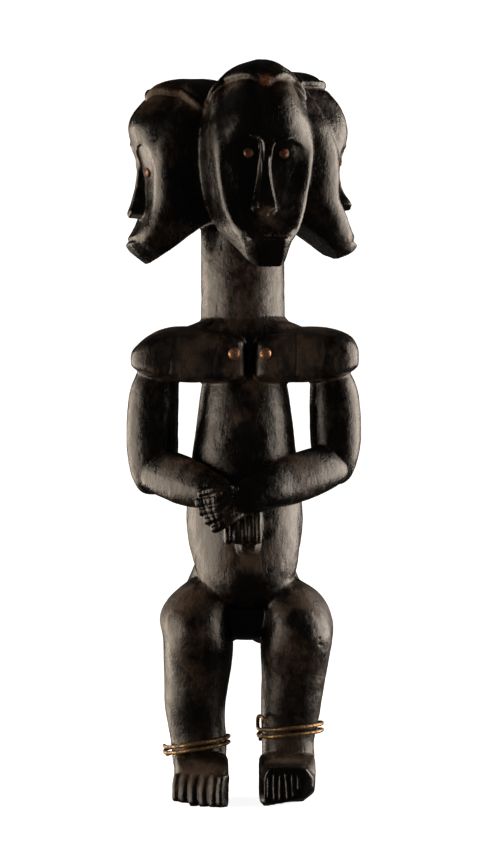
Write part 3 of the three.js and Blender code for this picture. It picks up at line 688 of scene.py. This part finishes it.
def joinForms(forms, name):
    bpy.ops.object.select_all(action="DESELECT")
    for form in forms:
        form.select_set(True)
    bpy.context.view_layer.objects.active = forms[0]
    bpy.ops.object.join()
    whole = bpy.context.object
    whole.name = name
    whole.data.name = name
    return whole


def makeFigure():
    forms = [headForm(head) for head in headPlaces] + [hairKnob(head) for head in headPlaces]
    forms += bodyForms() + [plateForm(-1), plateForm(1), collarForm()]
    forms += armForms(-1) + armForms(1) + handForms() + [navelForm(), legForm(-1), legForm(1)]
    forms += hipForms() + footForms(-1) + footForms(1)
    figure = joinForms(forms, "carved_figure")
    inEditMode(figure, lambda: bpy.ops.mesh.normals_make_consistent(inside=False))
    applyModifier(figure, "REMESH", mode="VOXEL", voxel_size=figureSet["voxel"] * 0.001)
    applyModifier(figure, "SMOOTH", factor=0.5, iterations=figureSet["softening"])
    return figure


figure = makeFigure()
print("figure joined:", len(figure.data.polygons), "faces")


# Sideways place and height of spots in the folds between the belly and the thighs.
hipFolds = [(-41, 180), (-32, 169), (-20, 160), (44, 180), (36, 169), (23, 160)]


# The rims of the faces and the hip folds are rubbed round, and the noses and lips stay sharp.
def softenRims(figure):
    points = readPoints(figure)
    weight = np.zeros(len(points))
    for head in headPlaces:
        yaw = math.radians(head["yaw"])
        t = (points[:, 0] - headSet["neckX"]) * math.cos(yaw) + points[:, 1] * math.sin(yaw)
        reach = (points[:, 0] - headSet["neckX"]) * math.sin(yaw) - points[:, 1] * math.cos(yaw)
        z = points[:, 2]
        rim = smooth(0.74, 0.9, np.abs(t) / edgeHalf(z)) * smooth(36, 50, reach)
        weight = np.maximum(weight, rim * smooth(437, 447, z) * (1 - smooth(544, 554, z)))
    for x, z in hipFolds:
        far = np.linalg.norm(points - (x, -36, z), axis=1)
        weight = np.maximum(weight, 1 - smooth(9, 18, far))
    a, b = readEdges(figure)
    near = (weight[a] > 0) | (weight[b] > 0)
    places, short = np.unique(np.concatenate([a[near], b[near]]), return_inverse=True)
    a, b = short[:near.sum()], short[near.sum():]
    count = len(places)
    some, pull = points[places], 0.6 * weight[places][:, None]
    degree = np.maximum(np.bincount(a, minlength=count) + np.bincount(b, minlength=count), 1)[:, None]
    for turn in range(60):
        sums = [np.bincount(a, some[b, i], count) + np.bincount(b, some[a, i], count) for i in range(3)]
        some = some + pull * (np.stack(sums, axis=1) / degree - some)
    points[places] = some
    writePoints(figure, points)


# Lines for the knife are laid in front of the figure or a face and dropped onto the surface.
def dropped(tree, points, facing, lift):
    ahead = Vector(facing).normalized()
    spots = []
    for point in points:
        start = Vector(toMetres(point)) + ahead * lift * 0.001
        spot = tree.ray_cast(start, -ahead, lift * 0.0025)[0]
        if spot is not None:
            spots.append(toMillimetres(spot))
    return np.array(spots).reshape(-1, 3)


# One stroke of the knife: points near the line sink in, or stand out where the depth is below zero.
def stroke(points, normals, line, width, depth, facing, taper=0.0):
    line = np.asarray(line, float)
    if len(line) < 2:
        return
    reachOut = width * 2.6
    low, high = line.min(0) - reachOut, line.max(0) + reachOut
    near = np.all((points > low) & (points < high), axis=1)
    chosen = np.flatnonzero(near & (normals @ np.asarray(facing, float) > 0.1))
    if not len(chosen):
        return
    spots = points[chosen]
    best = np.full(len(chosen), 1e9)
    along = np.zeros(len(chosen))
    for i in range(len(line) - 1):
        start, step = line[i], line[i + 1] - line[i]
        t = np.clip((spots - start) @ step / max(step @ step, 1e-9), 0, 1)
        gapTo = np.linalg.norm(spots - start - t[:, None] * step, axis=1)
        closer = gapTo < best
        best = np.where(closer, gapTo, best)
        along = np.where(closer, (i + t) / (len(line) - 1), along)
    fade = smooth(0, taper, along) * (1 - smooth(1 - taper, 1, along)) if taper else 1
    points[chosen] -= normals[chosen] * (depth * fade * np.exp(-((best / width) ** 2)))[:, None]


# Lines on each face as sideways place and height, then width, depth and taper.
faceLines = [
    ([(-4.2, 500), (-4.5, 511), (-5.4, 517), (-8.6, 520.6), (-13.6, 523.2), (-15.4, 526.6)], 1.2, -1.9, 0.2),
    ([(2.0, 500), (2.2, 511), (3.4, 516.2), (6.4, 518.6), (12.7, 520.6), (20.7, 521.6)], 1.2, -1.9, 0.2),
    ([(-7.6, 463.8), (-4.4, 462.6)], 1.0, 0.9, 0.2),
    ([(1.2, 462.6), (4.4, 463.8)], 1.0, 0.9, 0.2),
]
# Upright cuts on each forehead: sideways place, foot and top.
foreheadCuts = [(-3.6, 530, 552), (-1.4, 528, 558), (1.0, 532, 560), (3.2, 527, 559), (5.0, 534, 556),
                (7.6, 528, 553), (10.2, 536, 550)]
# Lines seen from the front as sideways place and height, then width, depth and taper.
frontLines = [
    ([(-18.8, 376), (-19.4, 364), (-22.3, 355), (-24.2, 347), (-25, 336)], 0.8, 0.5, 0.1),
    ([(40.8, 375), (41.3, 356), (40.9, 336)], 0.8, 0.7, 0.1),
    ([(41.9, 375), (42.4, 356), (42.0, 336)], 0.7, -0.35, 0.1),
    ([(-58.6, 352), (-58.2, 344), (-60.4, 338)], 0.9, 0.8, 0.2),
    ([(61, 372), (64, 357), (62.5, 342)], 1.2, 0.4, 0.3),
    ([(-62, 336.6), (-48, 334.4), (-30, 333.6), (-12, 334.4)], 1.6, -0.9, 0.15),
    ([(16, 334), (36, 333.4), (60, 336)], 1.6, -0.6, 0.15),
    ([(-17.6, 445), (-17.2, 434)], 0.6, 0.45, 0.3),
    ([(-21.3, 397), (-21.0, 388)], 0.6, 0.5, 0.3),
    ([(23.9, 27), (23.7, 15), (24.3, 4)], 0.75, -1.3, 0.1),
    ([(29.0, 26), (28.4, 14), (28.6, 4)], 0.75, -1.3, 0.1),
    ([(32.5, 27), (33.9, 15), (34.4, 5)], 0.75, -1.3, 0.1),
    ([(38.4, 27), (38.6, 16), (39.4, 7)], 0.75, -1.3, 0.1),
    ([(42.6, 26), (42.9, 12)], 0.75, -1.3, 0.1),
    ([(19.2, 24), (19.0, 6)], 0.75, -1.3, 0.1),
]
# On the crossed hand: lines between the fingers, lines over the joints, and short cuts on the first finger.
handCuts = [
    ([(-37.5, 241.6), (-28.2, 243.4), (-21.4, 244.2), (-16, 248.4), (-9.8, 249)], 0.75, 0.55),
    ([(-35.4, 233.6), (-28.2, 235.8), (-21.4, 237.2), (-16, 241.4), (-9.8, 245)], 0.75, 0.55),
    ([(-31, 226.6), (-26, 228.4), (-20.4, 229.8), (-16, 232.4), (-9.8, 237)], 0.75, 0.55),
    ([(-29, 219.6), (-23.4, 221), (-19.6, 223), (-14, 227.8), (-9.8, 231)], 0.75, 0.55),
    ([(-33.4, 246), (-32, 239), (-29.6, 232), (-24, 221)], 0.75, 0.45),
    ([(-26.4, 246), (-25.6, 238), (-23.6, 230), (-19.4, 219)], 0.75, 0.45),
    ([(-18.4, 247.4), (-17.4, 240), (-17.0, 231), (-15.8, 221)], 0.75, 0.45),
    ([(-29.4, 240.8), (-29.2, 237)], 0.6, 0.5), ([(-22.6, 243.4), (-22.4, 239.4)], 0.6, 0.5),
    ([(-20.2, 243.8), (-20.0, 239.8)], 0.6, 0.5), ([(-24.6, 242.6), (-24.4, 238.6)], 0.6, 0.5),
]


def cutDetails(figure):
    points, normals = readPoints(figure), readNormals(figure)
    tree = BVHTree.FromObject(figure, bpy.context.evaluated_depsgraph_get())
    front = (0, -1, 0)

    def cut(line, facing, width, depth, taper=0.0, lift=14.0):
        stroke(points, normals, dropped(tree, line, facing, lift), width, depth, facing, taper)

    for head in headPlaces:
        yaw = math.radians(head["yaw"])
        facing = (math.sin(yaw), -math.cos(yaw), 0)

        def onHead(pairs, count):
            line = smoothLine([(t, 0, z) for t, z in pairs], count)[0]
            x, y, z = turnHead(head, line[:, 0], np.full(count, 84.0), line[:, 2])
            return np.stack([x, y, z], axis=1)

        for pairs, width, depth, taper in faceLines:
            raised = [(t, z + head["noseRise"] * float(hump(z, headSet["noseTipZ"], 16))) for t, z in pairs]
            cut(onHead(raised, 40), facing, width, depth * head["browHigh"], taper)
        for t, low, high in foreheadCuts:
            cut(onHead([(t, low), (t + 0.4, (low + high) / 2), (t, high)], 12), facing, 0.55, 0.32, 0.3, 20)
    for pairs, width, depth, taper in frontLines:
        line = smoothLine([(x, -50, z) for x, z in pairs], 30)[0]
        cut(line, front, width, depth, taper, 30)
    for pairs, width, depth in handCuts:
        cut(smoothLine([(x, -62, z) for x, z in pairs], 30)[0], front, width, depth, 0.06, 20)
    # The small cuts along the thumb of the crossed hand.
    for i in range(9):
        x = -32.5 + 2.5 * i
        z = 248.6 + 0.16 * (x + 33)
        cut([(x - 0.3, -62, z - 2.2), (x + 0.3, -62, z + 2.2)], front, 0.55, 0.75, 0.0, 20)
    # Two pin holes in the right knee.
    for x, z in ((59.5, 131), (60, 126)):
        stroke(points, normals, [(x, -32, z), (x, -60, z)], 0.8, 1.4, front)
    writePoints(figure, points)


# The unevenness of the surface: kind of pattern, its size in metres, and its depth in millimetres.
unevenness = [
    ("broad", "CLOUDS", 0.034, 1.1), ("blows", "VORONOI", 0.013, 0.42), ("close", "CLOUDS", 0.007, 0.3),
]


def roughen(figure):
    for name, kind, size, strength in unevenness:
        pattern = bpy.data.textures.new(name, kind)
        pattern.noise_scale = size
        applyModifier(figure, "DISPLACE", texture=pattern, strength=strength * 0.001, mid_level=0.5)
        bpy.data.textures.remove(pattern)
    # The soles stay flat, and the carving keeps inside the solid's box.
    points = readPoints(figure)
    points[:, 2] = np.where(points[:, 2] < 0.9, 0, points[:, 2])
    writePoints(figure, np.clip(points, toMillimetres(cadLow), toMillimetres(cadHigh)))


softenRims(figure)
cutDetails(figure)
roughen(figure)
triangles = sum(len(face.vertices) - 2 for face in figure.data.polygons)
applyModifier(figure, "DECIMATE", ratio=min(1.0, figureSet["triangles"] / triangles))
pickOnly(figure)
bpy.ops.object.shade_smooth()
print("figure carved:", len(figure.data.polygons), "faces")


# Places that the finish marks: x, y, z, radius, and how much. First the brown and crusted ones.
stains = [
    (19, -87, 461, 8, 1.0), (21, -86, 566, 15, 0.7), (-12, -80, 564, 18, 0.7), (36, -66, 560, 16, 0.7),
    (-84, -10, 498, 12, 0.8), (-40, -40, 560, 22, 0.7), (66, -40, 558, 12, 0.8), (-70, -30, 560, 16, 0.8),
    (-14, -30, 430, 16, 0.5), (4, -33, 420, 20, 0.5), (0, -33, 392, 20, 0.7), (-8, -47, 345, 16, 0.6),
    (24, -46, 343, 16, 0.7), (-60, -20, 382, 24, 0.8), (50, -20, 382, 24, 0.8), (-40, -46, 352, 30, 0.6),
    (-70, -44, 350, 16, 0.5), (44, -46, 354, 26, 0.7), (70, -40, 352, 16, 0.5), (5, -46, 190, 13, 1.0),
    (-14, -46, 194, 9, 0.8), (22, -46, 196, 10, 0.8), (40, -38, 266, 18, 0.7), (-46, -34, 266, 16, 0.7),
    (0, -36, 300, 14, 0.6), (6, -36, 330, 10, 0.6), (50, -40, 168, 20, 1.0), (-44, -40, 166, 20, 1.0),
    (-34, -40, 132, 14, 0.5), (40, -40, 120, 20, 0.7), (-36, -38, 96, 22, 0.4), (34, -38, 84, 18, 0.3),
    (-36, -46, 30, 20, 1.0), (34, -38, 44, 20, 1.0), (0, -60, 216, 13, 0.4), (-72, -20, 226, 12, 0.3),
    (-20, -40, 156, 12, 0.6), (26, -40, 156, 12, 0.6),
]
# Painted shade, kept black without brown or dust where the surface lies in shade or faces the dark front: the
# front face, the left plate, the hands, the left inner arm, the trunk, the legs and the front of the worn
# foot.
shadeBlackPlaces = [
    (12, -84, 512, 24, 1.0), (0, -88, 536, 30, 0.9), (0, -66, 241, 9, 1.0), (-66, -44, 356, 16, 0.3),
    (-26, -46, 346, 14, 0.2), (-34, -46, 150, 12, 0.2), (46, -44, 146, 12, 0.2), (-20, -40, 110, 12, 0.4),
    (16, -84, 488, 20, 1.0), (18, -90, 452, 5, 1.0), (4, -88, 545, 22, 1.0), (14, -88, 560, 12, 0.8),
    (20, -84, 430, 15, 1.0), (-42, -18, 320, 18, 1.0), (-44, -18, 295, 18, 1.0), (-46, -18, 275, 16, 0.8),
    (2, -30, 138, 22, 1.0), (4, -44, 168, 15, 0.6), (2, -47, 178, 10, 0.5), (5, -62, 262, 14, 0.6),
    (30, -50, 254, 12, 0.8), (4, -38, 290, 14, 0.6), (36, -60, 18, 24, 0.9), (-8, -48, 158, 10, 0.7),
]
# Where the patina is dull: the plates, the forearms, the outer belly, the thighs, the shins and the feet.
dullPlaces = [
    (-40, -26, 80, 46, 0.35), (40, -26, 78, 46, 0.35), (-66, -10, 160, 30, 0.9), (70, -10, 165, 28, 0.9),
    (-30, -44, 165, 16, 0.8), (40, -44, 168, 18, 0.8), (-46, -10, 205, 16, 0.6), (-40, -46, 30, 20, 0.7),
    (36, -40, 40, 20, 0.7), (-60, -30, 276, 14, 0.7), (46, -38, 276, 16, 0.6), (40, -46, 356, 30, 0.6),
    (-40, -46, 356, 30, 0.6),
]
knobStain = turnHead(headPlaces[0], 0.4, 79, 567)


# How strongly each point is marked by round places, fading with the distance in radii.
def placesMark(points, places, fade):
    mark = np.zeros(len(points))
    for x, y, z, radius, amount in places:
        far = np.linalg.norm(points - (x, y, z), axis=1)
        mark = np.maximum(mark, amount * fade(far / radius))
    return mark


def addMark(piece, name, values):
    mark = piece.data.attributes.new(name, "FLOAT", "POINT")
    mark.data.foreach_set("value", np.clip(values, 0, 1).astype(np.float32))


def markWear(figure):
    points, normals = readPoints(figure), readNormals(figure)
    count = len(points)
    a, b = readEdges(figure)
    across = points[b] - points[a]
    length = np.maximum(np.linalg.norm(across, axis=1), 1e-6)
    bendA = np.einsum("ij,ij->i", normals[a], across) / length ** 2
    bendB = -np.einsum("ij,ij->i", normals[b], across) / length ** 2
    degree = np.bincount(a, minlength=count) + np.bincount(b, minlength=count)
    bend = (np.bincount(a, bendA, count) + np.bincount(b, bendB, count)) / np.maximum(degree, 1)
    for turn in range(5):
        total = np.bincount(a, bend[b], count) + np.bincount(b, bend[a], count)
        bend = 0.5 * bend + 0.5 * total / np.maximum(degree, 1)
    addMark(figure, "rubbed", smooth(0.03, 0.16, -bend))
    addMark(figure, "hollow", smooth(0.02, 0.13, bend))
    addMark(figure, "crust", placesMark(points, stains, lambda far: np.exp(-(far ** 2))))
    # The black mark is painted shade: it keeps the base colour black in the shaded places.
    addMark(figure, "black", placesMark(points, shadeBlackPlaces, lambda far: 1 - smooth(0.6, 1.15, far)))
    addMark(figure, "dull", placesMark(points, dullPlaces, lambda far: 1 - smooth(0.5, 1.1, far)))
    addMark(figure, "knob", 1 - smooth(4.8, 7.2, np.linalg.norm(points - knobStain, axis=1)))


markWear(figure)
print("wear marked")


# Sums on sockets, written as sums.
class Flow:
    def __init__(self, finish, socket):
        self.finish = finish
        self.socket = socket

    def sum(self, operation, first, second):
        return self.finish.node("ShaderNodeMath", {"operation": operation}, {0: first, 1: second})

    def __add__(self, other):
        return self.sum("ADD", self, other)

    def __radd__(self, other):
        return self.sum("ADD", other, self)

    def __sub__(self, other):
        return self.sum("SUBTRACT", self, other)

    def __rsub__(self, other):
        return self.sum("SUBTRACT", other, self)

    def __mul__(self, other):
        return self.sum("MULTIPLY", self, other)


class Finish:
    def __init__(self, name):
        self.material = bpy.data.materials.new(name)
        self.material.use_nodes = True
        self.tree = self.material.node_tree
        self.shader = self.tree.nodes["Principled BSDF"]

    def node(self, kind, settings=None, sockets=None, out=0):
        made = self.tree.nodes.new(kind)
        for name, value in (settings or {}).items():
            setattr(made, name, value)
        for name, value in (sockets or {}).items():
            self.feed(made.inputs[name], value)
        return Flow(self, made.outputs[out])

    def feed(self, socket, value):
        if isinstance(value, Flow):
            self.tree.links.new(value.socket, socket)
        else:
            socket.default_value = value

    def set(self, name, value):
        self.feed(self.shader.inputs[name], value)

    def place(self, scale=(1, 1, 1)):
        spot = self.node("ShaderNodeTexCoord", out=3)
        return self.node("ShaderNodeMapping", None, {"Vector": spot, "Scale": scale})

    def noise(self, scale, detail=3.0, stretch=(1, 1, 1), roughness=0.55):
        return self.node("ShaderNodeTexNoise", None, {
            "Vector": self.place(stretch), "Scale": scale, "Detail": detail, "Roughness": roughness})

    def step(self, value, low, high):
        return self.node("ShaderNodeMapRange", {"interpolation_type": "SMOOTHSTEP"}, {
            "Value": value, "From Min": low, "From Max": high})

    def mark(self, name):
        return self.node("ShaderNodeAttribute", {"attribute_name": name}, out=2)

    def blend(self, share, first, second):
        return self.node("ShaderNodeMix", {"data_type": "RGBA"}, {0: share, 6: first, 7: second}, out=2)

    def bump(self, height, strength, distance, under=None):
        sockets = {"Height": height, "Strength": strength, "Distance": distance}
        if under is not None:
            sockets["Normal"] = under
        return self.node("ShaderNodeBump", None, sockets)


woodSet = {
    "black": (0.0022, 0.0018, 0.0015, 1), "brown": (0.027, 0.0135, 0.0063, 1),
    "worn": (0.070, 0.040, 0.022, 1), "dust": (0.095, 0.060, 0.035, 1), "knob": (0.24, 0.10, 0.045, 1),
    "gloss": 0.27,
}


def makeWood(settings):
    finish = Finish("black_patina")
    rubbed, hollow, crust, knob, black, dull = (
        finish.mark(name) for name in ("rubbed", "hollow", "crust", "knob", "black", "dull"))
    cloud = finish.noise(26, 4)
    patch = finish.noise(85, 6, (1, 1, 0.6), 0.62)
    spot = finish.noise(230, 5, (1, 1, 0.7), 0.62)
    speck = finish.noise(640, 3)
    grain = finish.noise(560, 4, (1, 1, 0.06))
    # Brown shows in broad clouds and in patches, and more in hollows and on the crusted places. The black
    # mark takes the brown and dust away there as painted shade.
    browning = cloud * 0.36 + patch * 0.34 + spot * 0.3 + hollow * 0.16 + crust * 0.3 - black * 0.4
    dusting = patch * 0.35 + spot * 0.35 + speck * 0.3 + hollow * 0.2 + crust * 0.24 - black * 0.4
    brown = finish.step(browning, 0.49, 0.70)
    dusty = finish.step(dusting, 0.58, 0.80)
    worn = finish.step(rubbed * 0.45 + speck * 0.35 + spot * 0.3, 0.55, 0.95)
    streak = finish.step(grain * 0.6 + cloud * 0.4, 0.52, 0.68)
    colour = finish.blend(brown * 0.85, settings["black"], settings["brown"])
    colour = finish.blend(streak * brown * 0.35, colour, settings["worn"])
    colour = finish.blend(dusty * 0.7, colour, settings["dust"])
    colour = finish.blend(worn * 0.5, colour, settings["worn"])
    colour = finish.blend(knob * finish.step(speck + patch, 0.75, 1.15), colour, settings["knob"])
    finish.set("Base Color", colour)
    uneven = (patch - 0.5) * 0.45 + (spot - 0.5) * 0.4 + (grain - 0.5) * 0.08
    rough = settings["gloss"] - black * 0.05 + brown * 0.1 + dusty * 0.28 + crust * 0.2 + dull * 0.26
    finish.set("Roughness", rough + uneven * (1 - black * 0.7))
    finish.set("IOR", 1.5)
    relief = finish.bump((patch * 0.7 + cloud * 0.4 + spot * 0.5) * (1 - black * 0.6), 0.6, 0.0018)
    relief = finish.bump(grain, 0.14, 0.0004, relief)
    relief = finish.bump(speck * 0.6 + spot * crust, 0.35, 0.0008, relief)
    finish.set("Normal", relief)
    return finish.material


figure.data.materials.clear()
figure.data.materials.append(makeWood(woodSet))
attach(figure, "root")
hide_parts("figure")
print("wood finished")


# Tacks: a domed head with a thin rim, sunk a little into the wood.
tackSet = {"eyeRadius": 4.2, "nippleRadius": 4.8, "rise": 0.62, "seatDepth": 1.2, "rim": 0.7, "gap": 0.3}


def makeTack(name, radius, middle, yaw):
    bpy.ops.object.select_all(action="DESELECT")
    bpy.ops.mesh.primitive_uv_sphere_add(segments=40, ring_count=28, radius=radius * 0.001)
    tack = bpy.context.object
    tack.name = name
    tack.data.name = name
    inEditMode(
        tack,
        lambda: bpy.ops.transform.resize(value=(1, 1, tackSet["rise"])),
        lambda: bpy.ops.mesh.bisect(plane_co=(0, 0, 0), plane_no=(0, 0, -1), use_fill=True, clear_outer=True),
        lambda: bpy.ops.mesh.select_all(action="DESELECT"))
    for face in tack.data.polygons:
        face.select = face.normal.z < -0.9 and len(face.vertices) > 4
    drop = (0, 0, -tackSet["rim"] * 0.001)
    inEditMode(
        tack,
        lambda: bpy.ops.mesh.extrude_region_move(TRANSFORM_OT_translate={"value": drop}),
        lambda: bpy.ops.transform.resize(value=(0.96, 0.96, 1)),
        lambda: bpy.ops.mesh.inset(thickness=radius * 0.0003),
        chosenFaces=True)
    points = np.array([vertex.co for vertex in tack.data.vertices])
    away = np.hypot(points[:, 0], points[:, 1]) / (radius * 0.001)
    uneven = 0.5 + 0.5 * np.sin(points[:, 0] * 1900 + middle[2]) * np.cos(points[:, 1] * 2300 + middle[0])
    points[:, 2] -= 0.00022 * uneven * (points[:, 2] > 0) * (1 - away ** 2)
    turned = math.radians(yaw)
    x, y, z = points[:, 0], -points[:, 2], points[:, 1]
    turnedX = x * math.cos(turned) - y * math.sin(turned)
    turnedY = x * math.sin(turned) + y * math.cos(turned)
    placed = np.stack([turnedX, turnedY, z], axis=1)
    tack.data.vertices.foreach_set("co", (placed + toMetres(middle)).ravel())
    tack.data.update()
    inEditMode(tack, lambda: bpy.ops.mesh.normals_make_consistent(inside=False))
    applyModifier(tack, "BEVEL", width=0.0003, segments=2, limit_method="ANGLE", angle_limit=0.7)
    bpy.ops.object.shade_smooth_by_angle(angle=0.9)
    return tack


def makeBrass(name, colour, dark, gloss):
    finish = Finish(name)
    grime = finish.noise(420, 4)
    spots = finish.noise(1500, 3)
    dirty = finish.step(grime * 0.6 + spots * 0.4, 0.38, 0.60)
    finish.set("Base Color", finish.blend(dirty * 0.92, colour, dark))
    finish.set("Metallic", 1.0 - dirty * 0.6)
    finish.set("Roughness", gloss + dirty * 0.3)
    finish.set("Normal", finish.bump(grime * 0.6 + spots * 0.4, 0.35, 0.0003))
    return finish.material


tackMetal = makeBrass("copper_brown_brass", (0.62, 0.34, 0.19, 1), (0.10, 0.05, 0.03, 1), 0.3)
# Painted shade: the eye tacks get a darker, rougher copy of the tack copper.
shadedEyeMetal = makeBrass("copper_darkened_as_shade", (0.30, 0.12, 0.06, 1), (0.02, 0.012, 0.009, 1), 0.36)


def dressTack(tack, node):
    tack.data.materials.append(shadedEyeMetal if "eye" in node else tackMetal)
    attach(tack, "root")
    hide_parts(node)


eyeNames = {"front": ("left", "right"), "left": ("far", "near"), "right": ("near", "far")}
sink = tackSet["seatDepth"] - tackSet["rim"] - tackSet["gap"]
for head in headPlaces:
    for hand in (-1, 1):
        eyeZ = headSet["eyeZ"] - head["eyeDrop"]
        t = head["eyeX"] + hand * headSet["eyeSpread"]
        reach = float(faceReach(t, eyeZ, head["narrow"]) - pullOf(head)(eyeZ)) - sink
        side = eyeNames[head["name"]][0 if hand < 0 else 1]
        node = f"eye_tack_{head['name']}_{side}"
        middle = turnHead(head, t, reach, eyeZ)
        dressTack(makeTack("head_of_" + node, tackSet["eyeRadius"], middle, head["yaw"]), node)
for side, x in (("left", -7.7), ("right", 16.9)):
    node = "nipple_tack_" + side
    middle = (x, -(plateSet["reach"] - sink), 355)
    dressTack(makeTack("head_of_" + node, tackSet["nippleRadius"], middle, 0), node)
print("tacks set")


# Ankle wires: one wire wound twice round each leg. The right one starts in a bent-up end.
wireSets = {
    "left": {"x": -37.8, "z": 47.5, "halfX": 25.8, "halfY": 27, "tilt": 5, "pitch": 4.6, "startBend": []},
    "right": {"x": 36.9, "z": 60, "halfX": 25.8, "halfY": 27.2, "tilt": 3.4, "pitch": 5.4,
              "startBend": [(18, -24.5, 63.5), (15.5, -25.5, 67.5), (12, -20, 69), (10.8, -10, 65.5)]},
}
wireRadius = 1.6


def makeWire(side, settings):
    wound = []
    steps = 32
    for i in range(steps * 2 - 1):
        angle = 2 * math.pi * i / steps - math.pi
        waver = 0.25 * math.sin(3 * angle) + 0.15 * math.sin(7.3 * angle)
        wound.append((
            settings["x"] + (settings["halfX"] + waver) * math.cos(angle),
            (settings["halfY"] + waver) * math.sin(angle),
            settings["z"] + settings["tilt"] * math.cos(angle) - settings["pitch"] * i / steps + waver))
    points = toMetres([*settings["startBend"], *wound])
    bpy.ops.object.select_all(action="DESELECT")
    bpy.ops.curve.primitive_nurbs_path_add()
    wire = bpy.context.object
    wire.name = "wire_of_ankle_" + side
    wire.data.splines.clear()
    spline = wire.data.splines.new("NURBS")
    spline.points.add(len(points) - 1)
    for point, place in zip(spline.points, points):
        point.co = (*place, 1)
    spline.order_u = 4
    spline.use_endpoint_u = True
    wire.data.bevel_depth = wireRadius * 0.001 * 0.96
    wire.data.bevel_resolution = 5
    wire.data.resolution_u = 4
    wire.data.use_fill_caps = True
    bpy.ops.object.convert(target="MESH")
    wire = bpy.context.object
    wire.data.name = wire.name
    bpy.ops.object.shade_smooth_by_angle(angle=0.9)
    return wire


wireMetal = makeBrass("old_wire", (0.42, 0.27, 0.12, 1), (0.028, 0.016, 0.009, 1), 0.34)
for side, settings in wireSets.items():
    wire = makeWire(side, settings)
    wire.data.materials.clear()
    wire.data.materials.append(wireMetal)
    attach(wire, "root")
    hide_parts("ankle_wire_" + side)
print("wires wound")


# Studio, in metres: a pale sweep behind and under the figure, and a large soft light at each side.
stageSet = {"width": 9.0, "front": -4.0, "back": 2.4, "high": 4.0, "fold": 0.9, "glow": 0.92}


def makeSweep(settings):
    bpy.ops.object.select_all(action="DESELECT")
    depth = settings["back"] - settings["front"]
    middle = (settings["back"] + settings["front"]) / 2
    bpy.ops.mesh.primitive_plane_add(size=1, location=(0, middle, 0))
    sweep = bpy.context.object
    sweep.name = "pale_sweep"
    inEditMode(sweep, lambda: bpy.ops.transform.resize(value=(settings["width"], depth, 1)))
    for vertex in sweep.data.vertices:
        vertex.select = vertex.co.y > 0
    for edge in sweep.data.edges:
        edge.select = all(sweep.data.vertices[i].co.y > 0 for i in edge.vertices)
    for face in sweep.data.polygons:
        face.select = False
    bpy.ops.object.mode_set(mode="EDIT")
    bpy.ops.mesh.select_mode(type="EDGE")
    bpy.ops.mesh.extrude_region_move(TRANSFORM_OT_translate={"value": (0, 0, settings["high"])})
    bpy.ops.object.mode_set(mode="OBJECT")
    applyModifier(sweep, "BEVEL", width=settings["fold"], segments=16, limit_method="ANGLE", angle_limit=0.7)
    bpy.ops.object.shade_smooth()
    finish = Finish("pale_paper")
    finish.set("Base Color", (0.85, 0.85, 0.84, 1))
    finish.set("Roughness", 0.9)
    finish.set("Emission Color", (1, 1, 1, 1))
    finish.set("Emission Strength", settings["glow"])
    sweep.data.materials.append(finish.material)
    sweep.visible_glossy = False
    sweep.visible_diffuse = False
    sweep.visible_shadow = False


def makeSoftbox(name, turn, distance, middleZ, width, height, power, colour):
    angle = math.radians(turn)
    place = Vector((math.sin(angle) * distance, -math.cos(angle) * distance, middleZ))
    bpy.ops.object.light_add(type="AREA", location=place)
    light = bpy.context.object
    light.name = name
    light.rotation_euler = (Vector((0, 0, 0.3)) - place).to_track_quat("-Z", "Y").to_euler()
    light.data.shape = "RECTANGLE"
    light.data.size = width
    light.data.size_y = height
    light.data.energy = power
    light.data.color = colour


def makeWorld(colour, strength):
    world = bpy.data.worlds.new("dim_room")
    bpy.context.scene.world = world
    world.use_nodes = True
    world.node_tree.nodes["Background"].inputs["Color"].default_value = colour
    world.node_tree.nodes["Background"].inputs["Strength"].default_value = strength


makeSweep(stageSet)
makeSoftbox("left_light", -98, 1.2, 0.20, 2.5, 1.15, 38, (1, 0.84, 0.68))
makeSoftbox("right_light", 103, 1.3, 0.45, 1.7, 1.25, 40, (1, 0.86, 0.73))
makeWorld((1, 0.97, 0.93, 1), 0.022)
bpy.context.scene.view_settings.view_transform = "Standard"
print("studio set")
